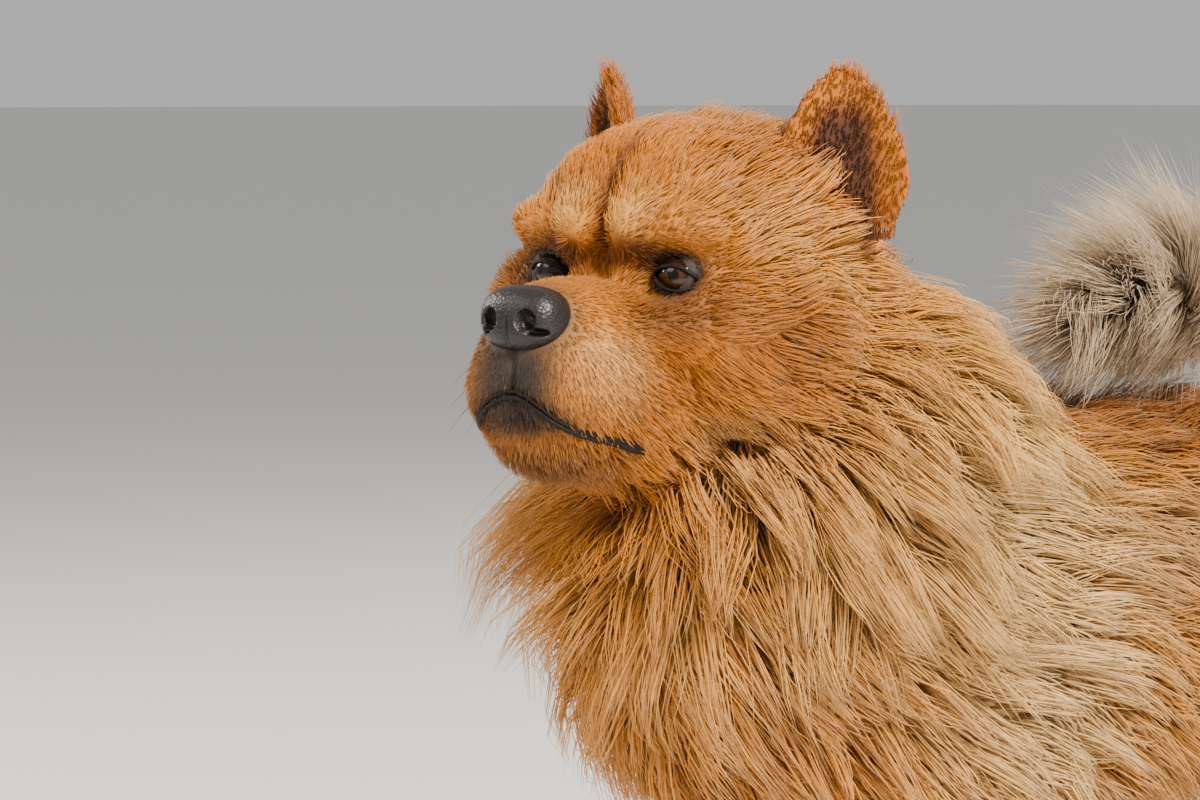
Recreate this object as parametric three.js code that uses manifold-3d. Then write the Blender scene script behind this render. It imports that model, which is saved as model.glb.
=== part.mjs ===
// A life-size chow chow standing at rest, in millimetres. It faces -Y, its left side is +X and
// the floor is Z = 0. The flesh is modelled whole, out to the tips of its coat, and then parted by
// thin cuts into head, neck, torso, legs and paws. Eyes, nose, ears and tail are solids of their
// own, let into the flesh that carries them.

import * as THREE from "three";
import { mergeVertices } from "three/addons/utils/BufferGeometryUtils.js";
import Module from "manifold-3d";

const wasm = await Module();
wasm.setup();

// The gap between two nodes that touch, and how much larger a solid is made to clear a place
const GAP = 0.3;
const CLEAR = 0.35;

// How deep the coat stands over the skin, to its tips
const COAT = { body: 44, ruff: 66, thigh: 34, leg: 11, tail: 16 };

// The head: the point between the eyes, the turn to its left and the lift of the nose
const BETWEEN_EYES = [30, -345, 560];
const HEAD_TURN = 14;
const HEAD_LIFT = 5;

// Sides and rings of the round solids
const BODY_FACES = [24, 20];
const LIMB_FACES = [12, 12];
const HEAD_DETAIL = 10;

const vec = (x, y, z) => new THREE.Vector3(x, y, z);
const radians = THREE.MathUtils.degToRad;

// A closed geometry as a solid, with its faces pointing out
function solidOf(geometry) {
  const bare = geometry.clone();
  bare.deleteAttribute("normal");
  bare.deleteAttribute("uv");
  const merged = mergeVertices(bare, 1e-3);
  const vertProperties = merged.attributes.position.array;
  const triVerts = new Uint32Array(merged.index.array);
  const made = new wasm.Manifold(new wasm.Mesh({ numProp: 3, vertProperties, triVerts }));
  if (made.volume() > 0) return made;
  triVerts.reverse();
  return new wasm.Manifold(new wasm.Mesh({ numProp: 3, vertProperties, triVerts }));
}

// A solid back as a geometry for a mesh
function geometryOf(solid) {
  const { vertProperties, triVerts } = solid.getMesh();
  return new THREE.BufferGeometry()
    .setAttribute("position", new THREE.BufferAttribute(vertProperties, 3))
    .setIndex(new THREE.BufferAttribute(triVerts, 1));
}

// The largest closed surface of a solid: loose scraps go and sealed hollows fill
function largest(solid) {
  return solid.decompose().reduce((best, piece) => (piece.volume() > best.volume() ? piece : best));
}

const join = (solids) => wasm.Manifold.union(solids);

// Parts a solid at a plane through a point: first the side that the normal points to
function cut(solid, normal, point) {
  const n = vec(...normal).normalize();
  const offset = n.dot(vec(...point));
  return [
    solid.trimByPlane([n.x, n.y, n.z], offset + GAP / 2),
    solid.trimByPlane([-n.x, -n.y, -n.z], -offset + GAP / 2),
  ];
}

// Moves every point of a three.js shape by a function of its place on the unit shape
function reshaped(geometry, place) {
  const at = geometry.attributes.position;
  for (let i = 0; i < at.count; i++) {
    const moved = place(vec(at.getX(i), at.getY(i), at.getZ(i)));
    at.setXYZ(i, moved.x, moved.y, moved.z);
  }
  return geometry;
}

// An ellipsoid of three radii about a centre
function ellipsoid(centre, radii, faces = [12, 8]) {
  return new THREE.SphereGeometry(1, ...faces).scale(...radii).translate(...centre);
}

// A rounded length of body along a smooth line. Each station holds the line's x, y and z and
// the skin's half width across (X) and half depth (square to the line).
class Length {
  constructor(stations, coat) {
    const smooth = (points) => new THREE.CatmullRomCurve3(points, false, "catmullrom", 0.5);
    this.line = smooth(stations.map(([x, y, z]) => vec(x, y, z)));
    this.girth = smooth(stations.map(([, , , across, deep]) => vec(across, deep, 0)));
    this.coat = coat;
  }

  // The point at a share along and an angle round, some way outside the tips of the coat
  point(share, angle, grow) {
    const ahead = this.line.getTangent(share);
    const across = vec(1, 0, 0).addScaledVector(ahead, -ahead.x).normalize();
    const deep = across.clone().cross(ahead);
    const girth = this.girth.getPoint(share);
    const cosine = 1 - 2 * share;
    const fullness = Math.max(0, 1 - cosine * cosine) ** 0.25;
    const reach = this.coat + grow;
    return this.line
      .getPoint(share)
      .addScaledVector(ahead, -cosine * reach)
      .addScaledVector(across, Math.cos(angle) * (girth.x + reach) * fullness)
      .addScaledVector(deep, Math.sin(angle) * (girth.y + reach) * fullness);
  }

  // The whole length as a solid, some way outside the tips of the coat
  solid([sides, rings], grow = 0) {
    const place = (p) => this.point((1 - p.y) / 2, Math.atan2(p.z, p.x), grow);
    return solidOf(reshaped(new THREE.SphereGeometry(1, sides, rings), place));
  }
}

// The lengths of body. The last number of each list is the half depth square to the line.
const torso = new Length(
  [
    [0, 222, 374, 60, 56],
    [0, 180, 370, 90, 82],
    [0, 105, 360, 102, 94],
    [0, 20, 350, 108, 98],
    [0, -65, 345, 118, 104],
    [0, -145, 347, 120, 110],
    [0, -230, 361, 110, 103],
    [0, -300, 383, 82, 78],
  ],
  COAT.body,
);
const neck = new Length(
  [
    [0, -132, 370, 86, 86],
    [2, -166, 404, 99, 93],
    [6, -196, 444, 99, 92],
    [9, -222, 482, 88, 82],
    [11, -244, 510, 66, 60],
  ],
  COAT.ruff,
);

// A leg's lengths on one side, +1 for the left
const thigh = (side) =>
  new Length(
    [
      [side * 58, 142, 405, 42, 62],
      [side * 80, 144, 335, 56, 78],
      [side * 90, 148, 268, 46, 62],
      [side * 91, 164, 208, 32, 40],
    ],
    COAT.thigh,
  );
const hock = (side) =>
  new Length(
    [
      [side * 91, 158, 228, 36, 44],
      [side * 90, 180, 180, 28, 34],
      [side * 88, 196, 138, 25, 29],
      [side * 86, 197, 95, 24, 26],
      [side * 86, 192, 52, 26, 27],
      [side * 86, 186, 26, 27, 27],
    ],
    COAT.leg,
  );
const shoulder = (side) =>
  new Length(
    [
      [side * 66, -152, 360, 44, 62],
      [side * 82, -148, 295, 46, 58],
      [side * 88, -150, 235, 38, 44],
    ],
    COAT.thigh,
  );
const forearm = (side) =>
  new Length(
    [
      [side * 88, -149, 250, 34, 42],
      [side * 88, -158, 190, 29, 33],
      [side * 87, -167, 130, 25, 27],
      [side * 86, -171, 85, 25, 25],
      [side * 86, -176, 50, 26, 27],
      [side * 86, -182, 26, 26, 26],
    ],
    COAT.leg,
  );

// Lobes of the head about the point between the eyes, in its own frame: x left, y back, z up.
// Each holds a centre and radii to the tips of the short fur, and a pair lobe is mirrored.
const HEAD_LOBES = {
  skull: [[0, 82, 30], [88, 76, 61]],
  forehead: [[0, 38, 38], [66, 45, 42]],
  nape: [[0, 122, -4], [88, 62, 76]],
  muzzle: [[0, -30, -45], [41, 43, 36]],
  bridge: [[0, -28, -19], [23, 43, 12]],
  chin: [[0, -37, -89], [27, 33, 16]],
  jaw: [[0, 20, -74], [56, 64, 44]],
};
const HEAD_PAIRS = {
  cheek: [[64, 50, -28], [45, 56, 56]],
  flew: [[20, -42, -62], [24, 33, 28]],
  innerBrow: [[19, -2, 24], [16, 19, 15]],
  outerBrow: [[50, 10, 25], [24, 21, 14]],
  underEye: [[45, 0, -27], [22, 23, 15]],
};

// Hollows that the eyes lie in, taken out of the lobes
const EYE_HOLLOW = [[43, -16, 0], [17, 17, 10]];

// How softly the lobes run into each other
const HEAD_BLEND = 8;

// The point inside the head that its surface is drawn round
const HEAD_HEART = [0, -8, -34];

// How far the coat at the back of the head stands outside the lobes
const HEAD_RUFF = 16;

const mirrored = ([[x, y, z], radii]) => [[-x, y, z], radii];

// How far a point is outside an ellipsoid, near enough
function outside(p, [centre, radii]) {
  const unit = p.clone().sub(vec(...centre)).divide(vec(...radii));
  const steep = unit.clone().divide(vec(...radii)).length();
  const far = unit.length();
  return steep > 0 ? (far * (far - 1)) / steep : -Math.min(...radii);
}

const head = {
  lobes: [
    ...Object.values(HEAD_LOBES),
    ...Object.values(HEAD_PAIRS),
    ...Object.values(HEAD_PAIRS).map(mirrored),
  ],
  hollows: [EYE_HOLLOW, mirrored(EYE_HOLLOW)],

  // How far a point in the head's frame is outside its surface
  distance(p) {
    const near = this.lobes.map((lobe) => outside(p, lobe));
    const low = Math.min(...near);
    const sum = near.reduce((total, d) => total + Math.exp((low - d) / HEAD_BLEND), 0);
    const solid = low - HEAD_BLEND * Math.log(sum);
    return this.hollows.reduce((d, hollow) => {
      const depth = -outside(p, hollow);
      const top = Math.max(d, depth);
      return top + 3 * Math.log(Math.exp((d - top) / 3) + Math.exp((depth - top) / 3));
    }, solid);
  },

  // The surface along a direction from the heart, with the ruff at the back of the head
  surface(direction, ruff = 0) {
    const heart = vec(...HEAD_HEART);
    let [near, far] = [5, 260];
    for (let i = 0; i < 30; i++) {
      const middle = (near + far) / 2;
      const p = heart.clone().addScaledVector(direction, middle);
      if (this.distance(p) < 0) near = middle;
      else far = middle;
    }
    const p = heart.clone().addScaledVector(direction, near);
    return p.addScaledVector(direction, ruff * backOfHead(p));
  },
};

// 0 on the face and crown, 1 on the cheeks, jaw and nape that carry the ruff
function backOfHead(p) {
  const start = 30 + 0.45 * Math.max(p.z, 0);
  return THREE.MathUtils.smoothstep(p.y, start, start + 40);
}

// The head's place in the dog
const headPlace = new THREE.Matrix4()
  .makeRotationZ(radians(HEAD_TURN))
  .multiply(new THREE.Matrix4().makeRotationX(radians(-HEAD_LIFT)))
  .setPosition(...BETWEEN_EYES);

const SIDES = [1, -1];

// The eyes, with lids of a thin shell that opens in an almond
const EYE = { at: [40, 8, 0], radius: 12.5, lid: 2.6, wide: 27, high: 15, turn: 16, slant: 8 };

function almond(side) {
  const half = EYE.wide / 2;
  const outline = new THREE.Shape().moveTo(-half, 0);
  outline.quadraticCurveTo(0, EYE.high, half, 0).quadraticCurveTo(0, -EYE.high, -half, 0);
  const depth = 3 * EYE.radius;
  return solidOf(
    new THREE.ExtrudeGeometry(outline, { depth, bevelEnabled: false, curveSegments: 5 })
      .rotateX(Math.PI / 2)
      .rotateY(radians(side * EYE.slant))
      .rotateZ(radians(side * EYE.turn))
      .translate(side * EYE.at[0], EYE.at[1], EYE.at[2]),
  );
}

function eyeball(side, radius, faces) {
  return new THREE.SphereGeometry(radius, ...faces)
    .rotateX(Math.PI / 2)
    .translate(side * EYE.at[0], EYE.at[1], EYE.at[2]);
}

// The nose pad, its nostrils and the groove between them
const NOSE = { at: [0, -66, -26], radii: [24, 17, 17] };

function nosePad(grow) {
  const radii = NOSE.radii.map((r) => r + grow);
  const boxy = (p) => {
    const cubes = p.toArray().reduce((sum, n) => sum + Math.abs(n) ** 3, 0);
    return p.multiplyScalar(cubes ** -0.2);
  };
  const pad = reshaped(new THREE.SphereGeometry(1, 20, 14), boxy);
  return solidOf(pad.scale(...radii).translate(...NOSE.at));
}

function nose() {
  const nostrils = [1, -1].flatMap((side) => [
    solidOf(ellipsoid([side * 11.5, -86, -27], [6, 12, 7.5], [10, 8])),
    solidOf(ellipsoid([side * 18, -80, -33], [9, 9, 3.2], [10, 6])),
  ]);
  const groove = solidOf(ellipsoid([0, -86, -31], [1.6, 6, 17], [8, 8]));
  return nosePad(0).subtract(join([...nostrils, groove]));
}

// The line of the mouth from the left corner round the front, and the lower lip under it
const MOUTH_HALF = [
  [45, -16, -95],
  [44, -35, -92],
  [39, -54, -87],
  [29, -69, -79],
  [15, -77, -69],
];
const MOUTH_LINE = [...MOUTH_HALF, [0, -79, -65], ...MOUTH_HALF.map(([x, y, z]) => [-x, y, z]).reverse()];

function alongMouth(drop, inset, half, depth) {
  const heart = vec(...HEAD_HEART);
  const stations = MOUTH_LINE.map(([x, y, z]) => {
    const p = head.surface(vec(x, y, z - drop).sub(heart).normalize());
    const way = p.clone().sub(heart).normalize();
    return [...p.addScaledVector(way, -inset).toArray(), half, depth];
  });
  return new Length(stations, 0).solid([6, 20]);
}

// An ear: a rounded triangle of thick skin whose edges curl forward round its cup
const EAR = { base: [72, 98, 36], tip: [77, 90, 116], across: [0.8, 0.6, 0], half: 40, thick: 13, cup: 18 };

function ear(side, grow) {
  const base = vec(...EAR.base);
  const up = vec(...EAR.tip).sub(base);
  const across = vec(...EAR.across).normalize();
  const open = across.clone().cross(up).normalize();
  const widen = 1 + grow / EAR.half;
  const place = (p) => {
    const share = (p.y + 1) / 2;
    const close = Math.min(1, share * 30);
    const ring = Math.atan2(p.z, p.x);
    const sideways = Math.cos(ring) * widen;
    const thick = (EAR.thick / 2 + grow) * (1 - share ** 3) ** 0.5 * close;
    const curl = EAR.cup * (sideways ** 2 - 0.5) * (1 - share ** 2) * Math.min(1, share * 4);
    return base
      .clone()
      .addScaledVector(up, share + (grow / up.length()) * (2 * share - 1))
      .addScaledVector(across, sideways * EAR.half * (1 - share ** 1.7) ** 0.6 * close)
      .addScaledVector(open, Math.sin(ring) * thick + curl);
  };
  const made = reshaped(new THREE.SphereGeometry(1, 16, 12), place);
  return solidOf(made.scale(side, 1, 1));
}

// The tail rises from the croup and curls forward over the back. It is drawn out to the tips of
// its plume.
const tail = new Length(
  [
    [0, 176, 405, 22, 22],
    [0, 200, 450, 26, 26],
    [2, 206, 502, 28, 32],
    [6, 170, 546, 30, 40],
    [14, 104, 562, 30, 42],
    [26, 34, 556, 27, 38],
    [36, -34, 542, 19, 24],
    [40, -64, 532, 12, 14],
  ],
  COAT.tail,
);

const placed = (solid) => solid.transform(headPlace.elements);

// The flesh of the head with its lids and lower lip
function headFlesh() {
  const grid = new THREE.IcosahedronGeometry(1, HEAD_DETAIL);
  const flesh = solidOf(reshaped(grid, (p) => head.surface(p.normalize(), HEAD_RUFF)));
  const lids = SIDES.map((side) => solidOf(eyeball(side, EYE.radius + EYE.lid, [18, 12])));
  return placed(join([flesh, ...lids, alongMouth(7, 1.5, 5, 5)]));
}

// What is let into the head, each made a little larger, and the line of the mouth
function headHollows() {
  const pairs = SIDES.flatMap((side) => [
    solidOf(eyeball(side, EYE.radius + CLEAR, [16, 12])),
    almond(side),
    ear(side, CLEAR),
  ]);
  return placed(join([alongMouth(0, 1, 2.6, 2.6), nosePad(CLEAR), ...pairs]));
}

// A paw on one side at a place along the dog: a pad, four toes and their claws
const PAW = { across: 86, front: -196, hind: 178, toes: [-23.5, -8.5, 8.5, 23.5], ahead: [18, 27, 27, 18] };

function paw(side, back) {
  const x = side * PAW.across;
  const pieces = [solidOf(ellipsoid([x, back, 18], [33, 36, 28], [12, 8]))];
  PAW.toes.forEach((off, i) => {
    const front = back - PAW.ahead[i];
    pieces.push(solidOf(ellipsoid([x + off, front, 15], [12.5, 19, 16], [8, 7])));
    const claw = new THREE.ConeGeometry(4.6, 22, 6).rotateX(Math.PI / 2 + 0.5).rotateZ(-off * 0.012);
    pieces.push(solidOf(claw.translate(x + off, front - 19, 10)));
  });
  return join(pieces);
}

// A region with flat sides: a side view's corners (y, z) carried from one x to another
function region(corners, [fromX, toX], grow) {
  const points = corners.map(([y, z]) => new THREE.Vector2(y, z));
  const { x: midY, y: midZ } = new THREE.Box2().setFromPoints(points).getCenter(new THREE.Vector2());
  const away = (value, mid) => value + grow * Math.sign(value - mid);
  const spread = (p) => new THREE.Vector2(away(p.x, midY), away(p.y, midZ));
  const depth = toX - fromX + 2 * grow;
  return solidOf(
    new THREE.ExtrudeGeometry(new THREE.Shape(points.map(spread)), { depth, bevelEnabled: false })
      .rotateX(Math.PI / 2)
      .rotateZ(Math.PI / 2)
      .translate(fromX - grow, 0, 0),
  );
}

const LEG_REGIONS = {
  fore: { corners: [[-300, -20], [-300, 120], [-244, 256], [-60, 256], [-60, -20]], inner: 34, outer: 260 },
  hind: { corners: [[34, -20], [34, 236], [262, 392], [400, 392], [400, -20]], inner: 22, outer: 260 },
};
const PAW_TOP = 50;
const NECK_CUT = { normal: [0, -0.7, 0.72], point: [0, -208, 418] };
const HEAD_CUT = { normal: [0, -0.86, 0.5], point: [0, 66, -56] };

const eyes = SIDES.map((side) => placed(solidOf(eyeball(side, EYE.radius, [16, 12]))));
const ears = SIDES.map((side) => placed(ear(side, 0)));

const limbs = SIDES.flatMap((side) => [thigh(side), hock(side), shoulder(side), forearm(side)]);

const flesh = join([
  torso.solid(BODY_FACES),
  neck.solid(BODY_FACES),
  headFlesh(),
  ...limbs.map((length) => length.solid(LIMB_FACES)),
  ...SIDES.flatMap((side) => [paw(side, PAW.front), paw(side, PAW.hind)]),
]);
const hollows = join([headHollows(), tail.solid(LIMB_FACES, CLEAR)]);
const hollowed = flesh.subtract(hollows).trimByPlane([0, 0, 1], 0);

// The cuts that part the flesh, from the head back
const headNormal = vec(...HEAD_CUT.normal).transformDirection(headPlace).toArray();
const headPoint = vec(...HEAD_CUT.point).applyMatrix4(headPlace).toArray();
const [headPart, behindHead] = cut(hollowed, headNormal, headPoint);
const [neckPart, behindNeck] = cut(behindHead, NECK_CUT.normal, NECK_CUT.point);

const legs = {};
let torsoPart = behindNeck;
for (const [end, { corners, inner, outer }] of Object.entries(LEG_REGIONS)) {
  for (const side of SIDES) {
    const across = side > 0 ? [inner, outer] : [-outer, -inner];
    const name = side > 0 ? "left" : "right";
    const leg = torsoPart.intersect(region(corners, across, 0));
    const [above, below] = cut(leg, [0, 0, 1], [0, 0, PAW_TOP]);
    legs[`${end}leg_${name}`] = above;
    legs[`${end}paw_${name}`] = below;
    torsoPart = torsoPart.subtract(region(corners, across, GAP));
  }
}

// Colours of the coat and of the bare parts
const COLOURS = {
  head: 0xb4783f,
  ear: 0x8a5a34,
  eye: 0x1d120c,
  nose: 0x2b2827,
  neck: 0xd9ac72,
  torso: 0xb98c5c,
  tail: 0xb5a58c,
  leg: 0xb7783f,
  paw: 0xb98350,
};

const solids = {
  head: headPart,
  ear_left: ears[0],
  ear_right: ears[1],
  eye_left: eyes[0],
  eye_right: eyes[1],
  nose: placed(nose()),
  neck: neckPart,
  torso: torsoPart,
  tail: tail.solid(LIMB_FACES),
  ...legs,
};

const model = new THREE.Group();
for (const [name, solid] of Object.entries(solids)) {
  const kind = Object.keys(COLOURS).find((word) => name.includes(word));
  const wet = kind === "eye" || kind === "nose";
  const material = new THREE.MeshStandardMaterial({
    color: COLOURS[kind],
    roughness: wet ? 0.25 : 0.9,
    metalness: 0,
  });
  const mesh = new THREE.Mesh(geometryOf(largest(solid)), material);
  mesh.name = name;
  model.add(mesh);
}

// The origin is the middle of the model's box on the floor
const box = new THREE.Box3().setFromObject(model);
const middle = box.getCenter(vec(0, 0, 0));
for (const mesh of model.children) mesh.geometry.translate(-middle.x, -middle.y, -box.min.z);

export default model;
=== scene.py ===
# %% [markdown]
# # Chow chow, life size
# A chow chow stands with its head turned to its left. On the real dog a loose skin carries a
# coat in two layers: a soft undercoat and longer guard hairs that lie back and down. The packed
# model gives the true sizes, so every piece here is placed by it.

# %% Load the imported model
import math

import bmesh
import bpy
import numpy as np
from mathutils import Matrix, Vector
from mathutils.bvhtree import BVHTree
from mathutils.kdtree import KDTree


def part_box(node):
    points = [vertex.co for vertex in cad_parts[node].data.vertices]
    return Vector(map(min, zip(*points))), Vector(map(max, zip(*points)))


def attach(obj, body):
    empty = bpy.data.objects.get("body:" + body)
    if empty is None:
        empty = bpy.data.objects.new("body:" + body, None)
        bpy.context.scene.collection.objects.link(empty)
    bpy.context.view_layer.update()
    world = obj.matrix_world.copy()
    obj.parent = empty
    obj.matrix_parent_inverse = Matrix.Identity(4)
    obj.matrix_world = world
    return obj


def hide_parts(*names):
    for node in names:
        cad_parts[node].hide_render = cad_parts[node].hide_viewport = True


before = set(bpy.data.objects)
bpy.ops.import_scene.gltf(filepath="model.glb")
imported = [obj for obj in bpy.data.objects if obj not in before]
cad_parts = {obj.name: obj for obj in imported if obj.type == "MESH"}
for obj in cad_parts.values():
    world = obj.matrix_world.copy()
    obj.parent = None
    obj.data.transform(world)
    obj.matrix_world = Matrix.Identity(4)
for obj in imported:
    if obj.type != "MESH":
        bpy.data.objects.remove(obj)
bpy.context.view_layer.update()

MM = 0.001
rng = np.random.default_rng(7)

# %% [markdown]
# The body is easiest to think about in the dog's own measures: millimetres, with the eyes at a
# known point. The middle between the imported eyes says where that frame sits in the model.

# %% The dog's own frame
EYES_MIDDLE = np.array([28.07, -337.27, 559.30])
eye_corners = [np.array(corner) for name in ("eye_left", "eye_right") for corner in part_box(name)]
SHIFT = np.mean(eye_corners, axis=0) / MM - EYES_MIDDLE
BETWEEN_EYES = np.array([30.0, -345.0, 560.0])
HEAD_TURN = 14
HEAD_LIFT = 5
HEAD_TURNED = np.array(
    Matrix.Rotation(math.radians(HEAD_TURN), 3, "Z") @ Matrix.Rotation(math.radians(-HEAD_LIFT), 3, "X")
)


def in_model(p):
    return (np.asarray(p, float) + SHIFT) * MM


def in_dog(p):
    return np.asarray(p, float) / MM - SHIFT


def head_to_dog(q):
    return np.asarray(q, float) @ HEAD_TURNED.T + BETWEEN_EYES


def dog_to_head(p):
    return (np.asarray(p, float) - BETWEEN_EYES) @ HEAD_TURNED


def unit(v):
    return v / np.maximum(np.linalg.norm(v, axis=-1, keepdims=True), 1e-9)


def ramp(value, low, high):
    t = np.clip((value - low) / (high - low), 0, 1)
    return t * t * (3 - 2 * t)


def on_left(q):
    """Points of the head with those of its right half mirrored onto the left."""
    return np.column_stack([np.abs(q[:, 0]), q[:, 1], q[:, 2]])


def add_object(name, data):
    made = bpy.data.objects.new(name, data)
    bpy.context.scene.collection.objects.link(made)
    return made


print("shift", SHIFT.round(2))

# %% [markdown]
# The camera and the light come early, so that each piece can be judged as it is made. A long
# lens at the height of the shoulder gives the calm, close portrait view.

# %% Camera
VIEW_TURN = math.radians(52)
VIEW_LIFT = math.radians(5)
level = math.cos(VIEW_LIFT)
back = Vector((math.sin(VIEW_TURN) * level, -math.cos(VIEW_TURN) * level, math.sin(VIEW_LIFT)))
right = Vector((math.cos(VIEW_TURN), math.sin(VIEW_TURN), 0))
up = back.cross(right)
FRAME_WIDE = 1200
PIXELS_PER_MM = 1.95
EYES_RIGHT_OF_MIDDLE = 10
EYES_ABOVE_MIDDLE = 127
offset = (right * EYES_RIGHT_OF_MIDDLE + up * EYES_ABOVE_MIDDLE) * MM / PIXELS_PER_MM
target = Vector(in_model(BETWEEN_EYES)) - offset
camera = add_object("camera", bpy.data.cameras.new("camera"))
camera.data.sensor_width = 36
camera.data.lens = 105
view_ratio = camera.data.lens / camera.data.sensor_width
camera.location = target + back * (view_ratio * FRAME_WIDE / PIXELS_PER_MM * MM)
camera.rotation_euler = back.to_track_quat("Z", "Y").to_euler()
bpy.context.scene.camera = camera
print("camera", [round(v, 3) for v in camera.location])


# %% Lights and the pale surroundings
DOG_MIDDLE = Vector((0, -0.1, 0.45))


def soft_light(name, place, size, power, colour):
    lamp = bpy.data.lights.new(name, "AREA")
    lamp.size = size
    lamp.energy = power
    lamp.color = colour
    obj = add_object(name, lamp)
    obj.location = place
    obj.rotation_euler = (Vector(place) - DOG_MIDDLE).to_track_quat("Z", "Y").to_euler()


soft_light("key_light", (2.3, -0.5, 2.3), 0.6, 225, (1.0, 0.91, 0.78))
soft_light("front_light", (-0.5, -2.8, 2.5), 1.8, 40, (1.0, 0.96, 0.92))
soft_light("left_light", (-2.4, -1.2, 1.6), 1.0, 60, (1.0, 0.9, 0.78))
soft_light("back_light", (-0.6, 2.6, 2.2), 1.4, 80, (1.0, 0.97, 0.93))
world = bpy.data.worlds.new("pale_room")
world.use_nodes = True
surroundings = world.node_tree.nodes["Background"]
surroundings.inputs["Color"].default_value = (0.90, 0.90, 0.90, 1)
surroundings.inputs["Strength"].default_value = 0.58
bpy.context.scene.world = world

floor_shape = bmesh.new()
bmesh.ops.create_grid(floor_shape, x_segments=1, y_segments=1, size=150)
floor_mesh = bpy.data.meshes.new("floor")
floor_shape.to_mesh(floor_mesh)
floor_shape.free()
floor = add_object("floor", floor_mesh)
floor_finish = bpy.data.materials.new("pale_floor")
floor_finish.use_nodes = True
floor_shader = floor_finish.node_tree.nodes["Principled BSDF"]
floor_shader.inputs["Base Color"].default_value = (0.72, 0.71, 0.69, 1)
floor_shader.inputs["Roughness"].default_value = 0.8
floor_mesh.materials.append(floor_finish)

# %% [markdown]
# Under the coat the dog is a set of rounded lengths of body along smooth lines. The packed
# solids follow the same lines, out to the tips of the coat, so the skin is drawn along them
# without that depth. A smooth curve through a few stations is shorter to write than a mesh.


# %% A rounded length of body
def smooth_at(table, share):
    ends = np.vstack([2 * table[0] - table[1], table, 2 * table[-1] - table[-2]])
    place = np.clip(share, 0, 1) * (len(table) - 1)
    index = np.minimum(place.astype(int), len(table) - 2)
    t = (place - index)[:, None]
    before, start, end, after = (ends[index + step] for step in range(4))
    leave = (end - before) / 2
    arrive = (after - start) / 2
    cubic = 2 * start - 2 * end + leave + arrive
    square = -3 * start + 3 * end - 2 * leave - arrive
    return start + leave * t + square * t**2 + cubic * t**3


class Length:
    """A rounded length of body: stations of x, y, z, half width and half depth."""

    def __init__(self, stations, lift=0.0):
        self.table = np.array(stations, float)
        self.lift = lift
        self.rings = self.ring((1 - np.cos(np.linspace(0, np.pi, 25))) / 2)

    def ring(self, share):
        place = smooth_at(self.table, share)
        ahead = unit((smooth_at(self.table, share + 1e-3) - smooth_at(self.table, share - 1e-3))[:, :3])
        across = unit(np.array([1.0, 0, 0]) - ahead * ahead[:, :1])
        deep = np.cross(across, ahead)
        cosine = 1 - 2 * share[:, None]
        fullness = np.maximum(0, 1 - cosine**2) ** 0.25
        middle = place[:, :3] - ahead * cosine * self.lift
        return middle, ahead, across, deep, (place[:, 3:] + self.lift) * fullness

    def point(self, share, angle):
        middle, ahead, across, deep, half = self.ring(share)
        sideways = across * (np.cos(angle)[:, None] * half[:, :1])
        return middle + sideways + deep * (np.sin(angle)[:, None] * half[:, 1:])

    def distance(self, p):
        """How far points are outside, measured in the slices they lie between."""
        middle, ahead, across, deep, half = self.rings
        off = p[:, None, :] - middle[None]
        x = np.einsum("nri,ri->nr", off, across)
        z = np.einsum("nri,ri->nr", off, deep)
        along = np.einsum("nri,ri->nr", off, ahead)
        size = np.maximum(half, 1)
        far = np.hypot(x, z)
        out = far - far / np.maximum(np.hypot(x / size[:, 0], z / size[:, 1]), 1e-6)
        best = np.full(len(p), 1e9)
        crossed = (along[:, :-1] >= 0) & (along[:, 1:] < 0)
        share = along[:, :-1] / np.where(crossed, along[:, :-1] - along[:, 1:], 1)
        between = out[:, :-1] + (out[:, 1:] - out[:, :-1]) * share
        best = np.minimum(best, np.where(crossed, between, 1e9).min(1))
        start = np.where(along[:, 0] < 0, np.hypot(np.maximum(out[:, 0], 0), along[:, 0]), 1e9)
        end = np.where(along[:, -1] > 0, np.hypot(np.maximum(out[:, -1], 0), along[:, -1]), 1e9)
        return np.minimum(best, np.minimum(start, end))


def on_side(side, stations):
    return [[side * x, *rest] for x, *rest in stations]


TORSO = [[0, 222, 374, 60, 56], [0, 180, 370, 90, 82], [0, 105, 360, 102, 94], [0, 20, 350, 108, 98],
         [0, -65, 345, 118, 104], [0, -145, 347, 120, 110], [0, -230, 361, 110, 103], [0, -300, 383, 82, 78]]
NECK = [[0, -132, 370, 86, 86], [2, -166, 404, 99, 93], [6, -196, 444, 99, 92], [9, -222, 482, 88, 82],
        [11, -244, 510, 66, 60]]
THIGH = [[58, 142, 405, 42, 62], [80, 144, 335, 56, 78], [90, 148, 268, 46, 62], [91, 164, 208, 32, 40]]
HOCK = [[91, 158, 228, 36, 44], [90, 180, 180, 28, 34], [88, 196, 138, 25, 29], [86, 197, 95, 24, 26],
        [86, 192, 52, 26, 27], [86, 186, 26, 27, 27]]
SHOULDER = [[66, -152, 360, 44, 62], [82, -148, 295, 46, 58], [88, -150, 235, 38, 44]]
FOREARM = [[88, -149, 250, 34, 42], [88, -158, 190, 29, 33], [87, -167, 130, 25, 27], [86, -171, 85, 25, 25],
           [86, -176, 50, 26, 27], [86, -182, 26, 26, 26]]
TAIL = [[0, 176, 405, 20, 20], [0, 196, 450, 19, 19], [2, 196, 498, 18, 18], [6, 160, 527, 18, 18],
        [14, 104, 536, 17, 17], [26, 40, 533, 14, 14], [38, -18, 523, 9, 9]]
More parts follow.
